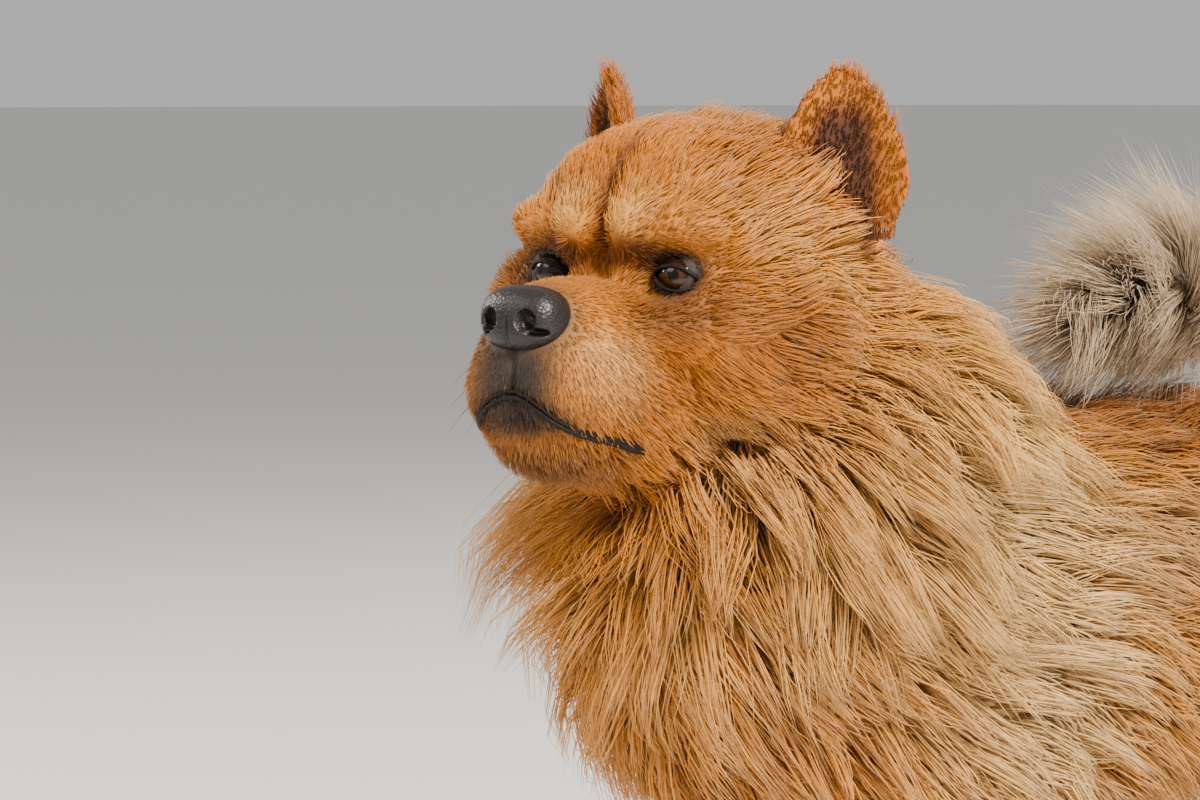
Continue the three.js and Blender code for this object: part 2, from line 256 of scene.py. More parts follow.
lengths = {
    "torso": [Length(TORSO, 10)],
    "neck": [Length(NECK, 14)],
    "thigh": [Length(on_side(side, THIGH), 6) for side in (1, -1)],
    "hock": [Length(on_side(side, HOCK), 2) for side in (1, -1)],
    "shoulder": [Length(on_side(side, SHOULDER), 6) for side in (1, -1)],
    "forearm": [Length(on_side(side, FOREARM), 2) for side in (1, -1)],
    "tail": [Length(TAIL, 0)],
}
print("lengths of body", sum(len(each) for each in lengths.values()))

# %% [markdown]
# A dog's head has no straight lines: skull, brows, muzzle, flews and cheeks run into each other.
# It is written as rounded lobes that blend, each with its centre and radii, and a smooth
# distance from them tells how far any point is outside the fur.

# %% The head as blended lobes
HEAD_LOBES = {
    "skull": ([0, 82, 30], [88, 76, 61]),
    "forehead": ([0, 38, 38], [66, 45, 42]),
    "nape": ([0, 122, -4], [88, 62, 76]),
    "muzzle": ([0, -30, -45], [41, 43, 36]),
    "bridge": ([0, -28, -19], [23, 43, 12]),
    "chin": ([0, -37, -89], [27, 33, 16]),
    "jaw": ([0, 20, -74], [56, 64, 44]),
}
HEAD_PAIRS = {
    "cheek": ([64, 50, -28], [45, 56, 56]),
    "flew": ([20, -42, -62], [24, 33, 28]),
    "inner_brow": ([19, -2, 24], [16, 19, 15]),
    "outer_brow": ([50, 10, 25], [24, 21, 14]),
    "under_eye": ([45, 0, -27], [22, 23, 15]),
}
EYE_HOLLOW = ([43, -16, 0], [17, 17, 10])
HEAD_BLEND = 8
HOLLOW_BLEND = 3
HEAD_HEART = np.array([0.0, -8, -34])
HEAD_RUFF = 16
EYE_AT = np.array([40.0, 8, 0])
EYE_RADIUS = 12.5
EYE_TURN = math.radians(16)
LID_SLANT = math.radians(8)
NOSE_AT = np.array([0.0, -66, -26])
NOSE_RADII = np.array([24.0, 17, 17])
MOUTH_HALF = [[45, -16, -95], [44, -35, -92], [39, -54, -87], [29, -69, -79], [15, -77, -69]]
MOUTH = np.array(MOUTH_HALF + [[0, -79, -65]] + [[-x, y, z] for x, y, z in MOUTH_HALF[::-1]], float)


def outside(q, centre, radii):
    """How far points are outside an ellipsoid, nearly."""
    radii = np.array(radii, float)
    share = (q - np.array(centre, float)) / radii
    far = np.linalg.norm(share, axis=1)
    steep = np.linalg.norm(share / radii, axis=1)
    return far * (far - 1) / np.maximum(steep, 1e-6)


def head_distance(q):
    """How far points in the head's frame are outside the tips of its short fur."""
    half = on_left(q)
    near = [outside(q, *lobe) for lobe in HEAD_LOBES.values()]
    near += [outside(half, *lobe) for lobe in HEAD_PAIRS.values()]
    far_side = half * np.array([-1, 1, 1])
    near += [outside(far_side, *lobe) for lobe in HEAD_PAIRS.values()]
    near = np.array(near)
    low = near.min(0)
    solid = low - HEAD_BLEND * np.log(np.exp((low - near) / HEAD_BLEND).sum(0))
    hollow = -outside(half, *EYE_HOLLOW)
    top = np.maximum(solid, hollow)
    soft = np.exp((solid - top) / HOLLOW_BLEND) + np.exp((hollow - top) / HOLLOW_BLEND)
    return top + HOLLOW_BLEND * np.log(soft)


def back_of_head(q):
    return ramp(q[:, 1] - 0.45 * np.maximum(q[:, 2], 0), 30, 70)


def on_mouth(q):
    """How far points are from the line of the mouth."""
    best = np.full(len(q), 1e9)
    for a, b in zip(MOUTH[:-1], MOUTH[1:]):
        share = np.clip(((q - a) @ (b - a)) / ((b - a) @ (b - a)), 0, 1)
        best = np.minimum(best, np.linalg.norm(q - a - share[:, None] * (b - a), axis=1))
    return best


print("lobes", len(HEAD_LOBES) + 2 * len(HEAD_PAIRS))


# %% [markdown]
# The fur is shortest on the muzzle and grows longer away from the nose, up to the ruff beside
# the cheeks. The scowl of the breed is in its skin: a furrow between two pads over the eyes.

# %% How long the head's fur is, and the folds of its skin
def head_fur(q):
    """The length of the fur at points of the head, in millimetres."""
    from_nose = np.linalg.norm(q - NOSE_AT, axis=1)
    length = np.interp(from_nose, [20, 55, 90, 120, 150, 190, 230], [5, 8.5, 13, 23, 42, 58, 68])
    length = length * (1 - 0.35 * ramp(q[:, 2], 25, 60))
    to_ear = np.linalg.norm(on_left(q) - [68, 84, 40], axis=1)
    length = length + 14 * np.exp(-((to_ear / 26) ** 2))
    length = length + 36 * ramp(-q[:, 2], 74, 104) * ramp(q[:, 1], -42, 5)
    near_eye = np.linalg.norm(on_left(q) - [42, -2, 0], axis=1)
    return np.maximum(length * (0.5 + 0.5 * ramp(near_eye, 12, 30)), 4.5)


def head_folds(q):
    """How deep the furrow, the scowl, the groove under the nose and the mouth cut in."""
    front = 1 - ramp(q[:, 1], 30, 60)
    furrow = 5 * np.exp(-((q[:, 0] / 5.5) ** 2)) * ramp(q[:, 2], 2, 22) * (1 - ramp(q[:, 2], 60, 85))
    slant = np.abs(q[:, 0]) - 20 - 0.5 * (q[:, 2] - 10)
    scowl = 2.5 * np.exp(-((slant / 5) ** 2)) * ramp(q[:, 2], 14, 26) * (1 - ramp(q[:, 2], 44, 60))
    under_nose = np.exp(-((q[:, 0] / 2.2) ** 2)) * ramp(-q[:, 1], 50, 60)
    under_nose = 2.5 * under_nose * ramp(q[:, 2], -72, -64) * (1 - ramp(q[:, 2], -42, -34))
    mouth = 3.5 * np.exp(-((on_mouth(q) / 4) ** 2))
    return front * (furrow + scowl + under_nose) + mouth


def skin_distance(q):
    fur_height = 0.42 * head_fur(q) - HEAD_RUFF * back_of_head(q) * 0.5
    return head_distance(q) + fur_height + head_folds(q)


def surface(distance, ways):
    """How far from the heart of the head directions meet a surface."""
    near = np.full(len(ways), 5.0)
    far = np.full(len(ways), 260.0)
    for _ in range(22):
        middle = (near + far) / 2
        inside = distance(HEAD_HEART + ways * middle[:, None]) < 0
        near = np.where(inside, middle, near)
        far = np.where(inside, far, middle)
    return near


def head_skin(ways):
    return HEAD_HEART + ways * surface(skin_distance, ways)[:, None]


print("fur on the forehead", head_fur(np.array([[0.0, 20, 60]])).round(1), "mm")

# %% [markdown]
# The skin has to be one closed surface, with no seam where a leg or the neck joins. Spheres are
# stretched to each length of body, and a voxel remesh melts them together. Smoothing the joints
# afterwards gives the soft folds of an armpit or a groin.

# %% Stretch spheres to each length of body
raw = bmesh.new()


def add_shape(made, place):
    verts = made["verts"]
    moved = place(np.array([v.co for v in verts]))
    for v, p in zip(verts, moved):
        v.co = p * MM


for each in [length for group in lengths.values() for length in group]:
    ball = bmesh.ops.create_uvsphere(raw, u_segments=36, v_segments=40, radius=1)
    add_shape(ball, lambda p, each=each: each.point((1 - p[:, 2]) / 2, np.arctan2(p[:, 1], p[:, 0])))

head_ball = bmesh.ops.create_icosphere(raw, subdivisions=6, radius=1)
add_shape(head_ball, lambda p: head_to_dog(head_skin(unit(p))))

PAW_ACROSS = 86
PAW_PLACES = [(side, y) for side in (1, -1) for y in (-196, 178)]
TOES = [(-23.5, 18), (-8.5, 27), (8.5, 27), (23.5, 18)]
PAW_SHAPES = [((0, 0, 17), (29, 33, 25))] + [((off, -ahead, 13.5), (10, 17, 13.5)) for off, ahead in TOES]
for side, y in PAW_PLACES:
    for centre, radii in PAW_SHAPES:
        pad = bmesh.ops.create_uvsphere(raw, u_segments=24, v_segments=16, radius=1)
        at = np.array(centre) + np.array([side * PAW_ACROSS, y, 0])
        add_shape(pad, lambda p, at=at, radii=radii: p * np.array(radii) + at)
print("shapes to melt together", len(raw.verts), "points")

# %% Melt them into one skin
raw_mesh = bpy.data.meshes.new("raw_skin")
raw.to_mesh(raw_mesh)
raw.free()
raw_object = add_object("raw_skin", raw_mesh)
remesh = raw_object.modifiers.new("melt", "REMESH")
remesh.mode = "VOXEL"
remesh.voxel_size = 4.6 * MM
view_layer = bpy.context.evaluated_depsgraph_get()
melted = bpy.data.meshes.new_from_object(raw_object.evaluated_get(view_layer))
bpy.data.objects.remove(raw_object)

skin = bmesh.new()
skin.from_mesh(melted)
skin.verts.ensure_lookup_table()
places = np.array([v.co for v in skin.verts]) / MM
behind_face = (dog_to_head(places)[:, 1] > 95) | (places[:, 2] < 400)
above_paws = places[:, 2] >= 55
body_verts = [v for v, use in zip(skin.verts, behind_face & above_paws) if use]
all_ways = {"use_axis_x": True, "use_axis_y": True, "use_axis_z": True}
for _ in range(10):
    bmesh.ops.smooth_vert(skin, verts=body_verts, factor=0.5, **all_ways)
print("skin", len(skin.verts), "points after melting")

# %% [markdown]
# The face needs finer points than the body, for its folds and lids. They are moved down the
# slope of the distance until they lie on the skin, and the lids are drawn round the eyeballs.

# %% Divide the face finely and carve its folds
face_edges = []
for edge in skin.edges:
    middle = dog_to_head(np.array([(edge.verts[0].co + edge.verts[1].co) / 2]) / MM)[0]
    if middle[1] < 42 and np.linalg.norm(middle - HEAD_HEART) < 130:
        face_edges.append(edge)
bmesh.ops.subdivide_edges(skin, edges=face_edges, cuts=2, use_grid_fill=True)
bmesh.ops.triangulate(skin, faces=[f for f in skin.faces if len(f.verts) > 4])
skin.verts.ensure_lookup_table()
places = np.array([v.co for v in skin.verts]) / MM
q = dog_to_head(places)
hold = (1 - ramp(q[:, 1], 70, 100)) * (np.linalg.norm(q - HEAD_HEART, axis=1) < 160)
moving = np.nonzero(hold > 0)[0]
face = q[moving]
steps = np.eye(3) * 0.5
for _ in range(4):
    d = skin_distance(face)
    slope = np.column_stack([skin_distance(face + s) - skin_distance(face - s) for s in steps])
    change = slope * (d / np.maximum((slope**2).sum(1), 0.3))[:, None]
    face = face - np.clip(change, -4, 4)
face = q[moving] + (face - q[moving]) * hold[moving][:, None]

# %% Draw the lids round the eyeballs
LID_WIDE = 27
LID_HIGH = 12.5
LID_DROP = 1.5
LID_THICK = 2.2
BEHIND_FRONT = 3
EYE_REGION = 24


def eye_plane(q):
    """Points seen along the eye: across, up, and in front, from the middle of the eyeball."""
    x, y, z = (on_left(q) - EYE_AT + [0, 0, LID_DROP]).T
    across = x * math.cos(EYE_TURN) + y * math.sin(EYE_TURN)
    front = x * math.sin(EYE_TURN) - y * math.cos(EYE_TURN)
    high = across * math.sin(LID_SLANT) + z * math.cos(LID_SLANT)
    return across * math.cos(LID_SLANT) - z * math.sin(LID_SLANT), high, front


def lid_opening(q):
    """Above 0 inside the almond between the lids, 1 at its middle."""
    across, high, front = eye_plane(q)
    edge = LID_HIGH / 2 * np.maximum(1 - (across / (LID_WIDE / 2)) ** 2, 0)
    return np.where((edge > 0) & (front > 0), 1 - np.abs(high) / np.maximum(edge, 1e-3), -1)


side_of_face = np.where(face[:, 0] > 0, 1, -1)
eye_centre = EYE_AT * np.column_stack([side_of_face, np.ones((len(face), 2))])
from_eye = face - eye_centre
near = np.linalg.norm(from_eye, axis=1)
lid = (near < EYE_RADIUS + LID_THICK) & (from_eye[:, 1] < 4)
face = np.where(lid[:, None], eye_centre + unit(from_eye) * (EYE_RADIUS + LID_THICK), face)
opened = (lid_opening(face) > 0.02) & (near < EYE_REGION)
face = np.where(opened[:, None], eye_centre + unit(face - eye_centre) * (EYE_RADIUS - BEHIND_FRONT), face)
places[moving] = head_to_dog(face)
places[:, 2] = np.maximum(places[:, 2], 0.4)
for v, p in zip(skin.verts, in_model(places)):
    v.co = p
print("skin", len(skin.verts), "points with a fine face")

# %% [markdown]
# The ears of this breed are small, thick and stiff, a rounded triangle whose edges curl forward
# round a cup. A sphere is pressed into that shape and joins the skin's mesh, so that one coat
# can be drawn over both.

# %% Ears
EAR = {"base": np.array([72.0, 98, 36]), "tip": np.array([77.0, 90, 113]),
       "across": unit(np.array([0.8, 0.6, 0])), "half": 42, "thick": 11, "cup": 18}
EAR_RISE = EAR["tip"] - EAR["base"]
EAR_FACING = unit(np.cross(EAR["across"], EAR_RISE))
EAR_SUNK = 0.16


def ear_curl(sideways, share):
    """How far the cup of the ear curls forward, most at its edges."""
    return EAR["cup"] * (sideways**2 - 0.5) * (1 - share**2) * np.minimum(1, share * 4)


def ear_shape(p, side):
    share = (p[:, 2] + 1) / 2
    ring = np.arctan2(p[:, 1], p[:, 0])
    close = np.minimum(1, share * 30)
    sideways = np.cos(ring)
    thick = EAR["thick"] / 2 * np.sqrt(np.maximum(1 - share**3, 0)) * close
    wide = EAR["half"] * np.maximum(1 - share**1.7, 0) ** 0.6 * close
    wide = wide * (0.7 + 0.3 * ramp(share, 0.05, 0.45))
    up_ear = (1 + EAR_SUNK) * share - EAR_SUNK
    made = EAR["base"] + up_ear[:, None] * EAR_RISE + (sideways * wide)[:, None] * EAR["across"]
    made = made + (np.sin(ring) * thick + ear_curl(sideways, share))[:, None] * EAR_FACING
    return made * np.array([side, 1, 1])


ear_start = len(skin.verts)
for side in (1, -1):
    ball = bmesh.ops.create_uvsphere(skin, u_segments=64, v_segments=48, radius=1)
    shaped = in_model(head_to_dog(ear_shape(np.array([v.co for v in ball["verts"]]), side)))
    for v, p in zip(ball["verts"], shaped):
        v.co = p
    ear_faces = list({f for v in ball["verts"] for f in v.link_faces})
    bmesh.ops.recalc_face_normals(skin, faces=ear_faces)
skin_mesh = bpy.data.meshes.new("skin")
bmesh.ops.triangulate(skin, faces=skin.faces)
skin.to_mesh(skin_mesh)
skin.free()
skin_mesh.polygons.foreach_set("use_smooth", np.ones(len(skin_mesh.polygons), bool))
skin_object = add_object("skin", skin_mesh)
print("skin with ears", len(skin_mesh.polygons), "triangles")

# %% [markdown]
# An unwrap of the skin gives each tuft its own small place on the coat's map, next to that of
# its neighbours. Blender's smart projection is quick, and seams don't matter under the coat.

# %% Unwrap the skin, for the coat's patches
bpy.context.view_layer.objects.active = skin_object
skin_object.select_set(True)
bpy.ops.object.mode_set(mode="EDIT")
bpy.ops.mesh.select_all(action="SELECT")
bpy.ops.uv.smart_project(angle_limit=math.radians(66), island_margin=0.001)
bpy.ops.object.mode_set(mode="OBJECT")
skin_object.select_set(False)


def mesh_values(data, name, size, kind=float):
    values = np.zeros(len(data) * size, kind)
    data.foreach_get(name, values)
    return values.reshape(-1, size)


count = len(skin_mesh.polygons)
corner_uv = mesh_values(skin_mesh.uv_layers[0].uv, "vector", 2).reshape(count, 3, 2)
skin_mesh.uv_layers[0].name = "SkinMap"
triangles = mesh_values(skin_mesh.polygons, "vertices", 3, int)
skin_points = in_dog(mesh_values(skin_mesh.vertices, "co", 3))
skin_normals = mesh_values(skin_mesh.vertex_normals, "vector", 3)
print("unwrapped", count, "triangles")

# %% [markdown]
# Each place on the dog belongs mostly to one part, which sets how long its hair is, how far it
# stands out and where it points. Near a joint the parts share, so the coat changes gradually.

# %% What part each place of the skin belongs to
PARTS = ["head", "neck", "torso", "thigh", "shoulder", "hock", "forearm", "tail", "paw"]
PAW_REACH = 40
PAW_HIGH = 46
PARTS_BLEND = 14


def part_shares(p):
    columns = []
    q = dog_to_head(p)
    for part in PARTS:
        if part == "head":
            columns.append(head_distance(q) + 8)
        elif part == "paw":
            flat = [np.hypot(p[:, 0] - side * PAW_ACROSS, p[:, 1] - y + 8) for side, y in PAW_PLACES]
            columns.append(np.maximum(np.min(flat, axis=0) - PAW_REACH, p[:, 2] - PAW_HIGH))
        else:
            columns.append(np.min([each.distance(p) for each in lengths[part]], axis=0))
    d = np.clip(np.array(columns).T, -2, 200)
    d[:, PARTS.index("paw")] -= 4
    share = np.exp((d.min(1, keepdims=True) - d) / PARTS_BLEND)
    return share / share.sum(1, keepdims=True)


skin_shares = np.vstack([part_shares(block) for block in np.array_split(skin_points, 12)])
skin_shares[ear_start:] = 0
is_ear = np.zeros(len(skin_points))
is_ear[ear_start:] = 1
print("places by part", dict(zip(PARTS, skin_shares.sum(0).round().astype(int).tolist())))

# %% [markdown]
# The markings are named patches of colour on a base for each part: a red forehead, a dark nose
# end, a cream ruff, a deep red back and a grey tail. Some patches are painted light and shade: a
# painted highlight on the two brow pads, painted shade in the furrow, and painted shadow of the
# brows round the eyes, of the jaw on the throat and of the tail on the back.
# Skin and hairs read the same markings, so no bald colour shows between tufts.


# %% The colours of the coat
def tone(*values):
    return np.array(values, float) / 255


def linear(v):
    return np.where(v <= 0.04045, v / 12.92, ((v + 0.055) / 1.055) ** 2.4)


PART_COLOUR = np.array([
    tone(208, 134, 70),   # head
    tone(236, 182, 116),  # neck
    tone(220, 158, 96),   # torso
    tone(222, 158, 94),   # thigh
    tone(234, 176, 112),  # shoulder
    tone(212, 144, 80),   # hock
    tone(216, 148, 84),   # forearm
    tone(210, 190, 164),  # tail
    tone(224, 168, 108),  # paw
])
HEAD_PATCHES = [
    # colour, centre, radii and strength, in the head's frame on both sides
    (tone(190, 130, 82), (0, 70, 88), (70, 55, 24), 0.7),       # crown
    # the inner and outer brow patches are a painted highlight on top of the brow pads
    (tone(244, 188, 118), (20, -12, 30), (13, 17, 15), 0.75),   # inner brow
    (tone(232, 168, 102), (52, 4, 36), (23, 20, 15), 0.7),      # outer brow
    # the furrow patch is painted shade in the crease between the brows
    (tone(108, 56, 24), (0, -4, 42), (6, 46, 32), 0.95),        # furrow
    # over the inner corner of the eye: painted shadow of the inner brow pad
    (tone(104, 58, 28), (24, -10, 11), (13, 18, 8), 0.8),       # over the inner corner of the eye
    (tone(122, 74, 40), (48, -8, -20), (25, 26, 15), 0.85),     # under the eye
    # round the eye: dark fur and lid skin, with the painted shadow of the brow and upper lid
    (tone(42, 24, 15), (43, -7, 1), (21, 21, 13), 0.95),        # round the eye
    (tone(248, 190, 120), (82, 40, 22), (30, 34, 30), 0.75),    # temple
    (tone(160, 96, 48), (80, 34, -30), (32, 32, 26), 0.7),      # cheek
    (tone(236, 192, 134), (66, 40, -86), (42, 42, 26), 0.75),   # lower cheek
    (tone(234, 182, 128), (33, -42, -50), (20, 27, 22), 0.85),  # whisker pad
    (tone(170, 110, 62), (0, -30, -8), (20, 34, 14), 0.6),      # bridge of the nose
    (tone(238, 186, 118), (90, 96, -24), (36, 42, 70), 0.75),   # ruff beside the head
    (tone(46, 40, 38), (0, -77, -55), (27, 23, 22), 0.97),      # front of the muzzle
    (tone(50, 38, 34), (0, -76, -74), (36, 22, 9), 0.9),        # front of the lips
    (tone(54, 46, 42), (0, -66, -26), (29, 17, 22), 0.9),       # round the nose
    (tone(116, 76, 46), (0, -52, -96), (42, 34, 14), 0.8),      # chin
    (tone(218, 182, 140), (50, -14, -108), (16, 24, 12), 0.6),  # below the corner of the mouth
]
EAR_COLOUR = tone(200, 124, 66)
EAR_INSIDE = tone(84, 44, 24)
WHISKER_ROOTS = [(30 + 2 * i, -58 + 9 * i, -44 - 8 * row) for row in range(3) for i in range(4)]
HEAD_PATCHES += [(tone(84, 52, 34), spot, (7, 2.0, 2.0), 0.8) for spot in WHISKER_ROOTS]
BODY_PATCHES = [
    # the throat patch is painted shadow under the jaw
    (tone(166, 98, 42), (20, -300, 436), (56, 50, 34), 0.7),       # throat
    (tone(250, 212, 152), (128, -150, 436), (62, 76, 84), 0.85),   # pale side of the ruff
    (tone(250, 212, 152), (-128, -150, 436), (62, 76, 84), 0.85),
    (tone(244, 196, 134), (20, -150, 550), (90, 60, 40), 0.7),     # nape
    (tone(248, 214, 160), (124, -140, 330), (60, 66, 66), 0.75),   # shoulder
    (tone(248, 214, 160), (-124, -140, 330), (60, 66, 66), 0.75),
    (tone(224, 156, 92), (-60, -300, 380), (70, 70, 80), 0.6),     # side of the chest
    (tone(204, 136, 78), (60, -290, 290), (80, 80, 56), 0.7),      # low chest
    # dark red back: deep red hair with the painted shadow of the tail lying over it
    (tone(116, 66, 34), (0, 60, 468), (104, 140, 46), 0.92),       # dark red back
    (tone(190, 160, 124), (106, 50, 402), (44, 130, 26), 0.75),    # saddle
    (tone(190, 160, 124), (-106, 50, 402), (44, 130, 26), 0.75),
    (tone(240, 210, 164), (0, 250, 330), (90, 60, 110), 0.6),      # breeches
    (tone(226, 186, 134), (0, 0, 236), (90, 180, 30), 0.6),        # belly
]


def patch_cover(p, centre, radii):
    """How much of a patch covers points: even in its middle, soft at its edge."""
    return np.exp(-(((p - centre) / radii) ** 2).sum(1) ** 1.6)


def markings_and_painted_light(p, shares, ear):
    """The colour of the coat at points of the dog, with the painted highlight, shade and shadows of some
    patches.
    """
    q = dog_to_head(p)
    head = shares[:, 0] + ear
    colour = shares @ PART_COLOUR
    for patch, centre, radii, strength in BODY_PATCHES:
        amount = strength * patch_cover(p, centre, radii) * (1 - head)
        colour = colour + (patch - colour) * amount[:, None]
    half = on_left(q)
    for patch, centre, radii, strength in HEAD_PATCHES:
        amount = strength * patch_cover(half, centre, radii) * shares[:, 0]
        colour = colour + (patch - colour) * amount[:, None]
    from_base = half - EAR["base"]
    share = np.clip(from_base @ EAR_RISE / (EAR_RISE @ EAR_RISE), 0.01, 0.99)
    sideways = from_base @ EAR["across"] / (EAR["half"] * (1 - share**1.7) ** 0.6)
    inner = ramp(from_base @ EAR_FACING - ear_curl(sideways, share), 0, 3)
    inner = inner * (1 - ramp(np.abs(sideways), 0.3, 0.65)) * (1 - ramp(share, 0.6, 0.85))
    ear_colour = EAR_COLOUR + (EAR_INSIDE - EAR_COLOUR) * inner[:, None]
    return linear(colour + (ear_colour - colour) * ear[:, None])


skin_colour = markings_and_painted_light(skin_points, skin_shares, is_ear)
skin_q = dog_to_head(skin_points)
under_pad = outside(skin_q, NOSE_AT, NOSE_RADII) < 1
at_eye = np.linalg.norm(on_left(skin_q) - EYE_AT, axis=1) < 16
on_sole = skin_points[:, 2] < 3.5
lips = (np.exp(-((on_mouth(skin_q) / 4) ** 2)) * skin_shares[:, 0])[:, None]
skin_colour = skin_colour * (1 - lips) + linear(tone(48, 36, 34)) * lips
skin_colour = np.where((under_pad | at_eye | on_sole)[:, None], linear(tone(46, 38, 36)), skin_colour)
print("coat colours from", skin_colour.min(0).round(3), "to", skin_colour.max(0).round(3))


# %% Keep colours and numbers on a mesh for its finish
def set_colour(mesh, name, colour):
    layer = mesh.color_attributes.new(name, "FLOAT_COLOR", "POINT")
    layer.data.foreach_set("color", np.column_stack([colour, np.ones(len(colour))]).ravel())


def set_number(mesh, name, value):
    mesh.attributes.new(name, "FLOAT", "POINT").data.foreach_set("value", np.asarray(value, np.float32))


set_colour(skin_mesh, "coat", skin_colour)

# %% [markdown]
# Hair is given painted shade towards its root, for the depth of the coat, and is paler at its tip,
# and no two tufts match. One node group works out that colour from the markings and their painted
# light, so every coat finish and the skin agree.

# %% The shared hair colour
hair = bpy.data.node_groups.new("hair_colour", "ShaderNodeTree")
marking_socket = hair.interface.new_socket("Marking And Painted Light", in_out="INPUT", socket_type="NodeSocketColor")
marking_socket.default_value = (0.5, 0.3, 0.1, 1)
for name, default in (("Along", 0.5), ("Tuft", 0.5), ("Painted Root Shade", 0.45), ("Streak", 0.0)):
    socket = hair.interface.new_socket(name, in_out="INPUT", socket_type="NodeSocketFloat")
    socket.default_value = default
for name, kind in (("Colour", "Color"), ("Roughness", "Float"), ("Height", "Float")):
    hair.interface.new_socket(name, in_out="OUTPUT", socket_type="NodeSocket" + kind)


def node(tree, kind, **values):
    made = tree.nodes.new(kind)
    for key, value in values.items():
        setattr(made, key, value)
    return made


def link(tree, start, end):
    tree.links.new(start, end)


def remap(tree, source, low, high, from_low=0.0, from_high=1.0):
    made = node(tree, "ShaderNodeMapRange")
    link(tree, source, made.inputs["Value"])
    limits = {"From Min": from_low, "From Max": from_high, "To Min": low, "To Max": high}
    for name, value in limits.items():
        made.inputs[name].default_value = value
    return made


def multiply(tree, first, second):
    made = node(tree, "ShaderNodeMath", operation="MULTIPLY")
    link(tree, first, made.inputs[0])
    link(tree, second, made.inputs[1])
    return made.outputs[0]


def noise(tree, scale, detail, **values):
    made = node(tree, "ShaderNodeTexNoise", **values)
    made.inputs["Scale"].default_value = scale
    made.inputs["Detail"].default_value = detail
    return made


group_in = node(hair, "NodeGroupInput")
group_out = node(hair, "NodeGroupOutput")
place = node(hair, "ShaderNodeTexCoord")
# painted shade: the colour of each hair darkens from its tip towards its root
shade = remap(hair, group_in.outputs["Along"], 0.45, 1.06)
link(hair, group_in.outputs["Painted Root Shade"], shade.inputs["To Min"])
vary = remap(hair, group_in.outputs["Tuft"], 0.84, 1.12)
cloud = noise(hair, 34, 3)
link(hair, place.outputs["Object"], cloud.inputs["Vector"])
patchy = remap(hair, cloud.outputs["Fac"], 0.88, 1.1, 0.3, 0.7)
fine = noise(hair, 1.0, 2, noise_dimensions="1D")
link(hair, group_in.outputs["Streak"], fine.inputs["W"])
link(hair, fine.outputs["Fac"], group_out.inputs["Height"])
single = remap(hair, fine.outputs["Fac"], 0.78, 1.14, 0.3, 0.7)
value = shade.outputs["Result"]
for change in (vary, patchy, single):
    value = multiply(hair, value, change.outputs["Result"])
warm = remap(hair, group_in.outputs["Along"], 1.16, 1.05)
tinted = node(hair, "ShaderNodeHueSaturation")
link(hair, warm.outputs["Result"], tinted.inputs["Saturation"])
link(hair, value, tinted.inputs["Value"])
link(hair, group_in.outputs["Marking And Painted Light"], tinted.inputs["Color"])
link(hair, tinted.outputs["Color"], group_out.inputs["Colour"])
rough = remap(hair, group_in.outputs["Tuft"], 0.66, 0.85)
link(hair, rough.outputs["Result"], group_out.inputs["Roughness"])
print("hair colour group with", len(hair.nodes), "nodes")


# %% [markdown]
# The coat's finish reads what its mesh holds for each tuft: the marking with its painted light
# and shade, how far along the hair, a chance value and a streak across it. Each tuft then looks
# like many single hairs.

# %% The coat's finish and the skin's finish
def new_finish(name, roughness=0.6):
    made = bpy.data.materials.new(name)
    made.use_nodes = True
    shader = made.node_tree.nodes["Principled BSDF"]
    shader.inputs["Roughness"].default_value = roughness
    return made, made.node_tree, shader


def bump(tree, height, shader, strength, distance):
    made = node(tree, "ShaderNodeBump")
    made.inputs["Strength"].default_value = strength
    made.inputs["Distance"].default_value = distance
    link(tree, height, made.inputs["Height"])
    link(tree, made.outputs["Normal"], shader.inputs["Normal"])


HAIR_INPUTS = (("coat", "Color", "Marking And Painted Light"), ("along", "Fac", "Along"), ("tuft", "Fac", "Tuft"),
               ("streak", "Fac", "Streak"))


def hair_finish(name, painted_root_shade, sheen):
    made, tree, shader = new_finish(name)
    group = node(tree, "ShaderNodeGroup", node_tree=hair)
    group.inputs["Painted Root Shade"].default_value = painted_root_shade
    for attribute, output, socket in HAIR_INPUTS:
        held = node(tree, "ShaderNodeAttribute", attribute_name=attribute)
        link(tree, held.outputs[output], group.inputs[socket])
    bump(tree, group.outputs["Height"], shader, 0.5, 0.0005)
    link(tree, group.outputs["Colour"], shader.inputs["Base Color"])
    link(tree, group.outputs["Roughness"], shader.inputs["Roughness"])
    shader.inputs["Sheen Weight"].default_value = sheen
    shader.inputs["Sheen Roughness"].default_value = 0.4
    shader.inputs["Sheen Tint"].default_value = (1.0, 0.82, 0.6, 1)
    shader.inputs["Specular IOR Level"].default_value = 0.2
    return made


# each finish sets how dark the painted shade at the roots of its hairs goes
short_hair = hair_finish("short_hair", 0.66, 0.2)
long_hair = hair_finish("long_hair", 0.66, 0.35)
tail_hair = hair_finish("tail_hair", 0.85, 0.4)
skin_finish, skin_tree, skin_shader = new_finish("furred_skin", 0.75)
skin_marks = node(skin_tree, "ShaderNodeAttribute", attribute_name="coat")
skin_group = node(skin_tree, "ShaderNodeGroup", node_tree=hair)
